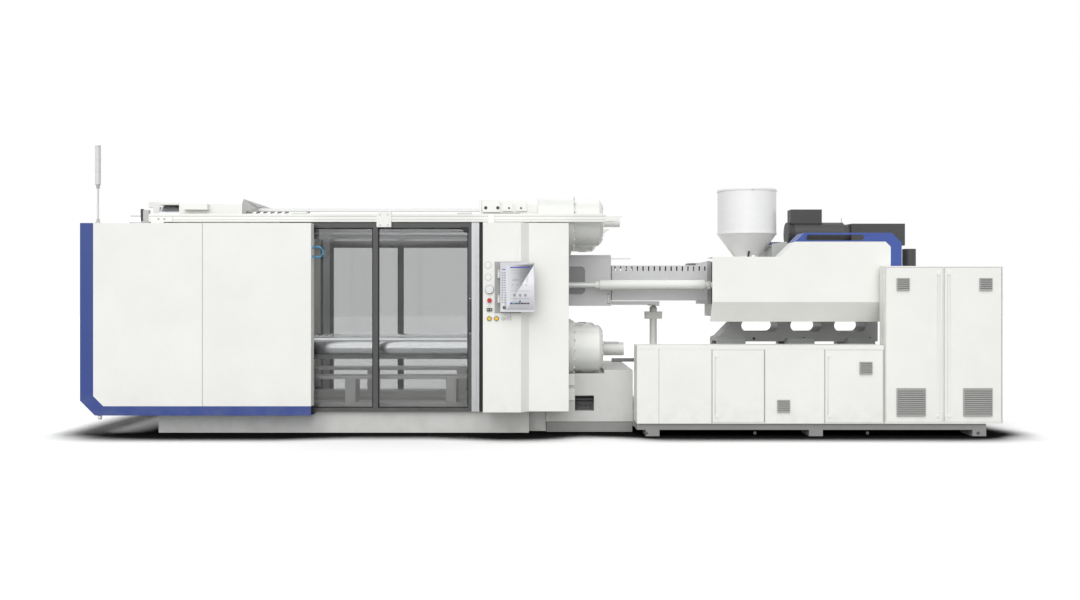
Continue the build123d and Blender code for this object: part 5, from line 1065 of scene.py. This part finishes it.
class MACHINE_OT_drive(PieceGroup, bpy.types.Operator):
    """Side plates, cable glands and sensor of the drive"""
    bl_idname = "machine.drive"
    bl_label = "Drive"

    def build(self):
        points = ((2.522, 1.812), (2.522, 1.992), (2.655, 2.018), (2.690, 2.018), (2.690, 1.812))
        plates = [outline_plate(points, y, y + 0.006, 0.002) for y in (-0.262, 0.352)]
        built("drive_side_plates", plates, "cast", "cast_paint", "carriage")
        rings = ((0, 0.022), (0.012, 0.022), (0.014, 0.017), (0.028, 0.017), (0.030, 0.013), (0.030, 0))
        gland = [lathe(rings, (3.058, y, 2.330), (1, 0, 0), 24) for y in (0.0, 0.11)]
        built("drive_glands", gland, "dark", "black_paint", "carriage")
        pin = [rod((3.372, 0.048, 2.20), (3.372, 0.048, 2.30), 0.005, 14, 0.001),
               plate((3.352, 0.03, 2.19), (3.372, 0.066, 2.236), 0.003)]
        built("drive_sensor", pin, "steel", "black_paint", "carriage")


class MACHINE_OT_cabinets(PieceGroup, bpy.types.Operator):
    """Seams between the covers, and the levelling screws of the feet"""
    bl_idname = "machine.cabinets"
    bl_label = "Cabinets and seams"

    def build(self):
        seams = [plate((x - width, -1.1505, low), (x + width, -1.1488, high), 0.0)
                 for x, width, low, high in ((-3.426, 0.0045, 0.30, 2.157), (1.186, 0.0045, 0.135, 0.90),
                                             (1.718, 0.002, 0.135, 0.90), (2.257, 0.002, 0.135, 0.90),
                                             (2.857, 0.002, 0.135, 0.90))]
        built("cover_seams", seams, "vent")
        places = [(x, -1.1225, 0.033) for x in (1.06, 2.16, 3.30, 4.42)]
        built("foot_screws", both_sides(heads(places, (0, -1, 0), 0.016, 0.005, 20)), "frame_grey")


class MACHINE_OT_rear(PieceGroup, bpy.types.Operator):
    """Louvres and screws of the rear covers"""
    bl_idname = "machine.rear"
    bl_label = "Rear side"

    def build(self):
        for side, left in (("left", -4.20), ("right", -3.20)):
            slat = plate((left, 1.2475, 1.70), (left + 0.42, 1.255, 1.708), 0.002)
            slats = copies(slat, [(0, 0, LOUVRE_PITCH * i) for i in range(1, 11)])
            built(f"rear_louvre_{side}", slats, "vent")
        for name, columns, rows in (
                ("rear_cover_screws", (-4.45, -3.50, -3.35, -2.72), (0.42, 1.25, 2.10)),
                ("rear_cabinet_screws", (1.26, 1.80, 2.34, 2.94, 3.54, 4.50), (0.19, 0.74))):
            places = [(x, REAR_FACE, z) for x in columns for z in rows]
            built(name, heads(places, (0, 1, 0), sizes().screw_radius, 0.005), "zinc")


EYE = (-0.015, -11.752, 1.38)
SKY_LIGHT, SKY_SEEN = 0.53, 1.0
# Floor colour for bounced light, colour of the painted contact shadow, and colour of the open floor
FLOOR_LIGHT, FLOOR_PAINTED_SHADE, FLOOR_OPEN = 0.45, 0.01, 1.02
SHADE_REACH = 0.6  # metres
LAMPS = (((52, 0, -8), 1.0, 70), ((-40, 0, 20), 0.35, 60))  # turn in degrees, share of the key, spread


class MACHINE_OT_stage(bpy.types.Operator):
    """Camera, soft lamps and a white floor that keeps the machine's shadow, with a painted contact shadow
    close to the machine
    """
    bl_idname = "machine.stage"
    bl_label = "Stage"

    def execute(self, context):
        scene = context.scene
        scene.view_settings.view_transform = "Standard"
        pick()
        bpy.ops.object.camera_add(location=EYE, rotation=(pi / 2, 0, 0))
        camera = context.object
        camera.data.lens = 35
        camera.data.sensor_width = 36
        camera.data.clip_end = 200
        scene.camera = camera
        for turn, share, spread in LAMPS:
            bpy.ops.object.light_add(type="SUN", location=(0, 0, 8), rotation=[radians(a) for a in turn])
            lamp = context.object.data
            lamp.energy = share * sizes().sun_strength
            lamp.angle = radians(spread)
        bpy.ops.mesh.primitive_plane_add(size=160, location=(0, 0, 0))
        floor = settle("floor")
        floor.data.materials.append(self.floor_material())
        self.world(scene)
        return {"FINISHED"}

    def floor_material(self):
        """White where it is open, with a painted contact shadow that darkens it close to the machine."""
        material = bpy.data.materials.new("white_floor")
        material.use_nodes = True
        tree = material.node_tree
        tree.nodes.clear()
        out = tree.nodes.new("ShaderNodeOutputMaterial")
        matt = tree.nodes.new("ShaderNodeBsdfDiffuse")
        # Painted shadow: ambient occlusion within the shade reach darkens the floor's colour next to the
        # machine
        near = tree.nodes.new("ShaderNodeAmbientOcclusion")
        near.inputs["Distance"].default_value = SHADE_REACH
        open_share = span(tree, near.outputs["AO"], 0.72, 0.96)
        painted_contact_shadow = mixed(tree, open_share, [FLOOR_PAINTED_SHADE] * 3, [FLOOR_OPEN] * 3)
        shown = mixed(tree, self.seen_directly(tree), [FLOOR_LIGHT] * 3, painted_contact_shadow)
        tree.links.new(shown, matt.inputs["Color"])
        tree.links.new(matt.outputs[0], out.inputs["Surface"])
        return material

    def seen_directly(self, tree):
        """One for the camera's rays and for those that a mirror or glass turns aside."""
        path = tree.nodes.new("ShaderNodeLightPath")
        level = path.outputs["Is Camera Ray"]
        for label in ("Is Transmission Ray", "Is Glossy Ray"):
            level = worked(tree, "MAXIMUM", level, path.outputs[label])
        return level

    def world(self, scene):
        scene.world = scene.world or bpy.data.worlds.new("studio")
        scene.world.use_nodes = True
        tree = scene.world.node_tree
        tree.nodes.clear()
        out = tree.nodes.new("ShaderNodeOutputWorld")
        sky = tree.nodes.new("ShaderNodeBackground")
        strength = span(tree, self.seen_directly(tree), 0, 1, SKY_LIGHT, SKY_SEEN)
        tree.links.new(strength, sky.inputs["Strength"])
        sky.inputs["Color"].default_value = (1, 1, 1, 1)
        tree.links.new(sky.outputs[0], out.inputs["Surface"])


class MACHINE_PT_panel(bpy.types.Panel):
    """Lists the machine's pieces, sizes and colours"""
    bl_idname = "MACHINE_PT_panel"
    bl_label = "Injection Moulding Machine"
    bl_space_type = "VIEW_3D"
    bl_region_type = "UI"
    bl_category = "Moulding"

    def draw(self, context):
        layout = self.layout
        for group in (context.scene.machine_colours, context.scene.machine_sizes):
            for name in group.bl_rna.properties.keys():
                if name not in ("rna_type", "name"):
                    layout.prop(group, name)
        for operator in OPERATORS:
            layout.operator(operator.bl_idname)


GROUP_TYPES = (MachineColours, MachineSizes)
OPERATORS = (
    MACHINE_OT_frame, MACHINE_OT_lamp, MACHINE_OT_covers, MACHINE_OT_rails, MACHINE_OT_doors,
    MACHINE_OT_operator_panel, MACHINE_OT_switches, MACHINE_OT_lock_cylinders, MACHINE_OT_middle_bed,
    MACHINE_OT_nozzle_guard, MACHINE_OT_injection_unit, MACHINE_OT_hopper, MACHINE_OT_drive,
    MACHINE_OT_cabinets, MACHINE_OT_rear, MACHINE_OT_stage,
)


def register():
    for kind in (*GROUP_TYPES, *OPERATORS, MACHINE_PT_panel):
        bpy.utils.register_class(kind)
    bpy.types.Scene.machine_colours = bpy.props.PointerProperty(type=MachineColours)
    bpy.types.Scene.machine_sizes = bpy.props.PointerProperty(type=MachineSizes)


def unregister():
    del bpy.types.Scene.machine_colours
    del bpy.types.Scene.machine_sizes
    for kind in reversed((*GROUP_TYPES, *OPERATORS, MACHINE_PT_panel)):
        bpy.utils.unregister_class(kind)


def main():
    register()
    for operator in OPERATORS:
        category, name = operator.bl_idname.split(".")
        getattr(getattr(bpy.ops, category), name)()


if __name__ == "__main__":
    main()
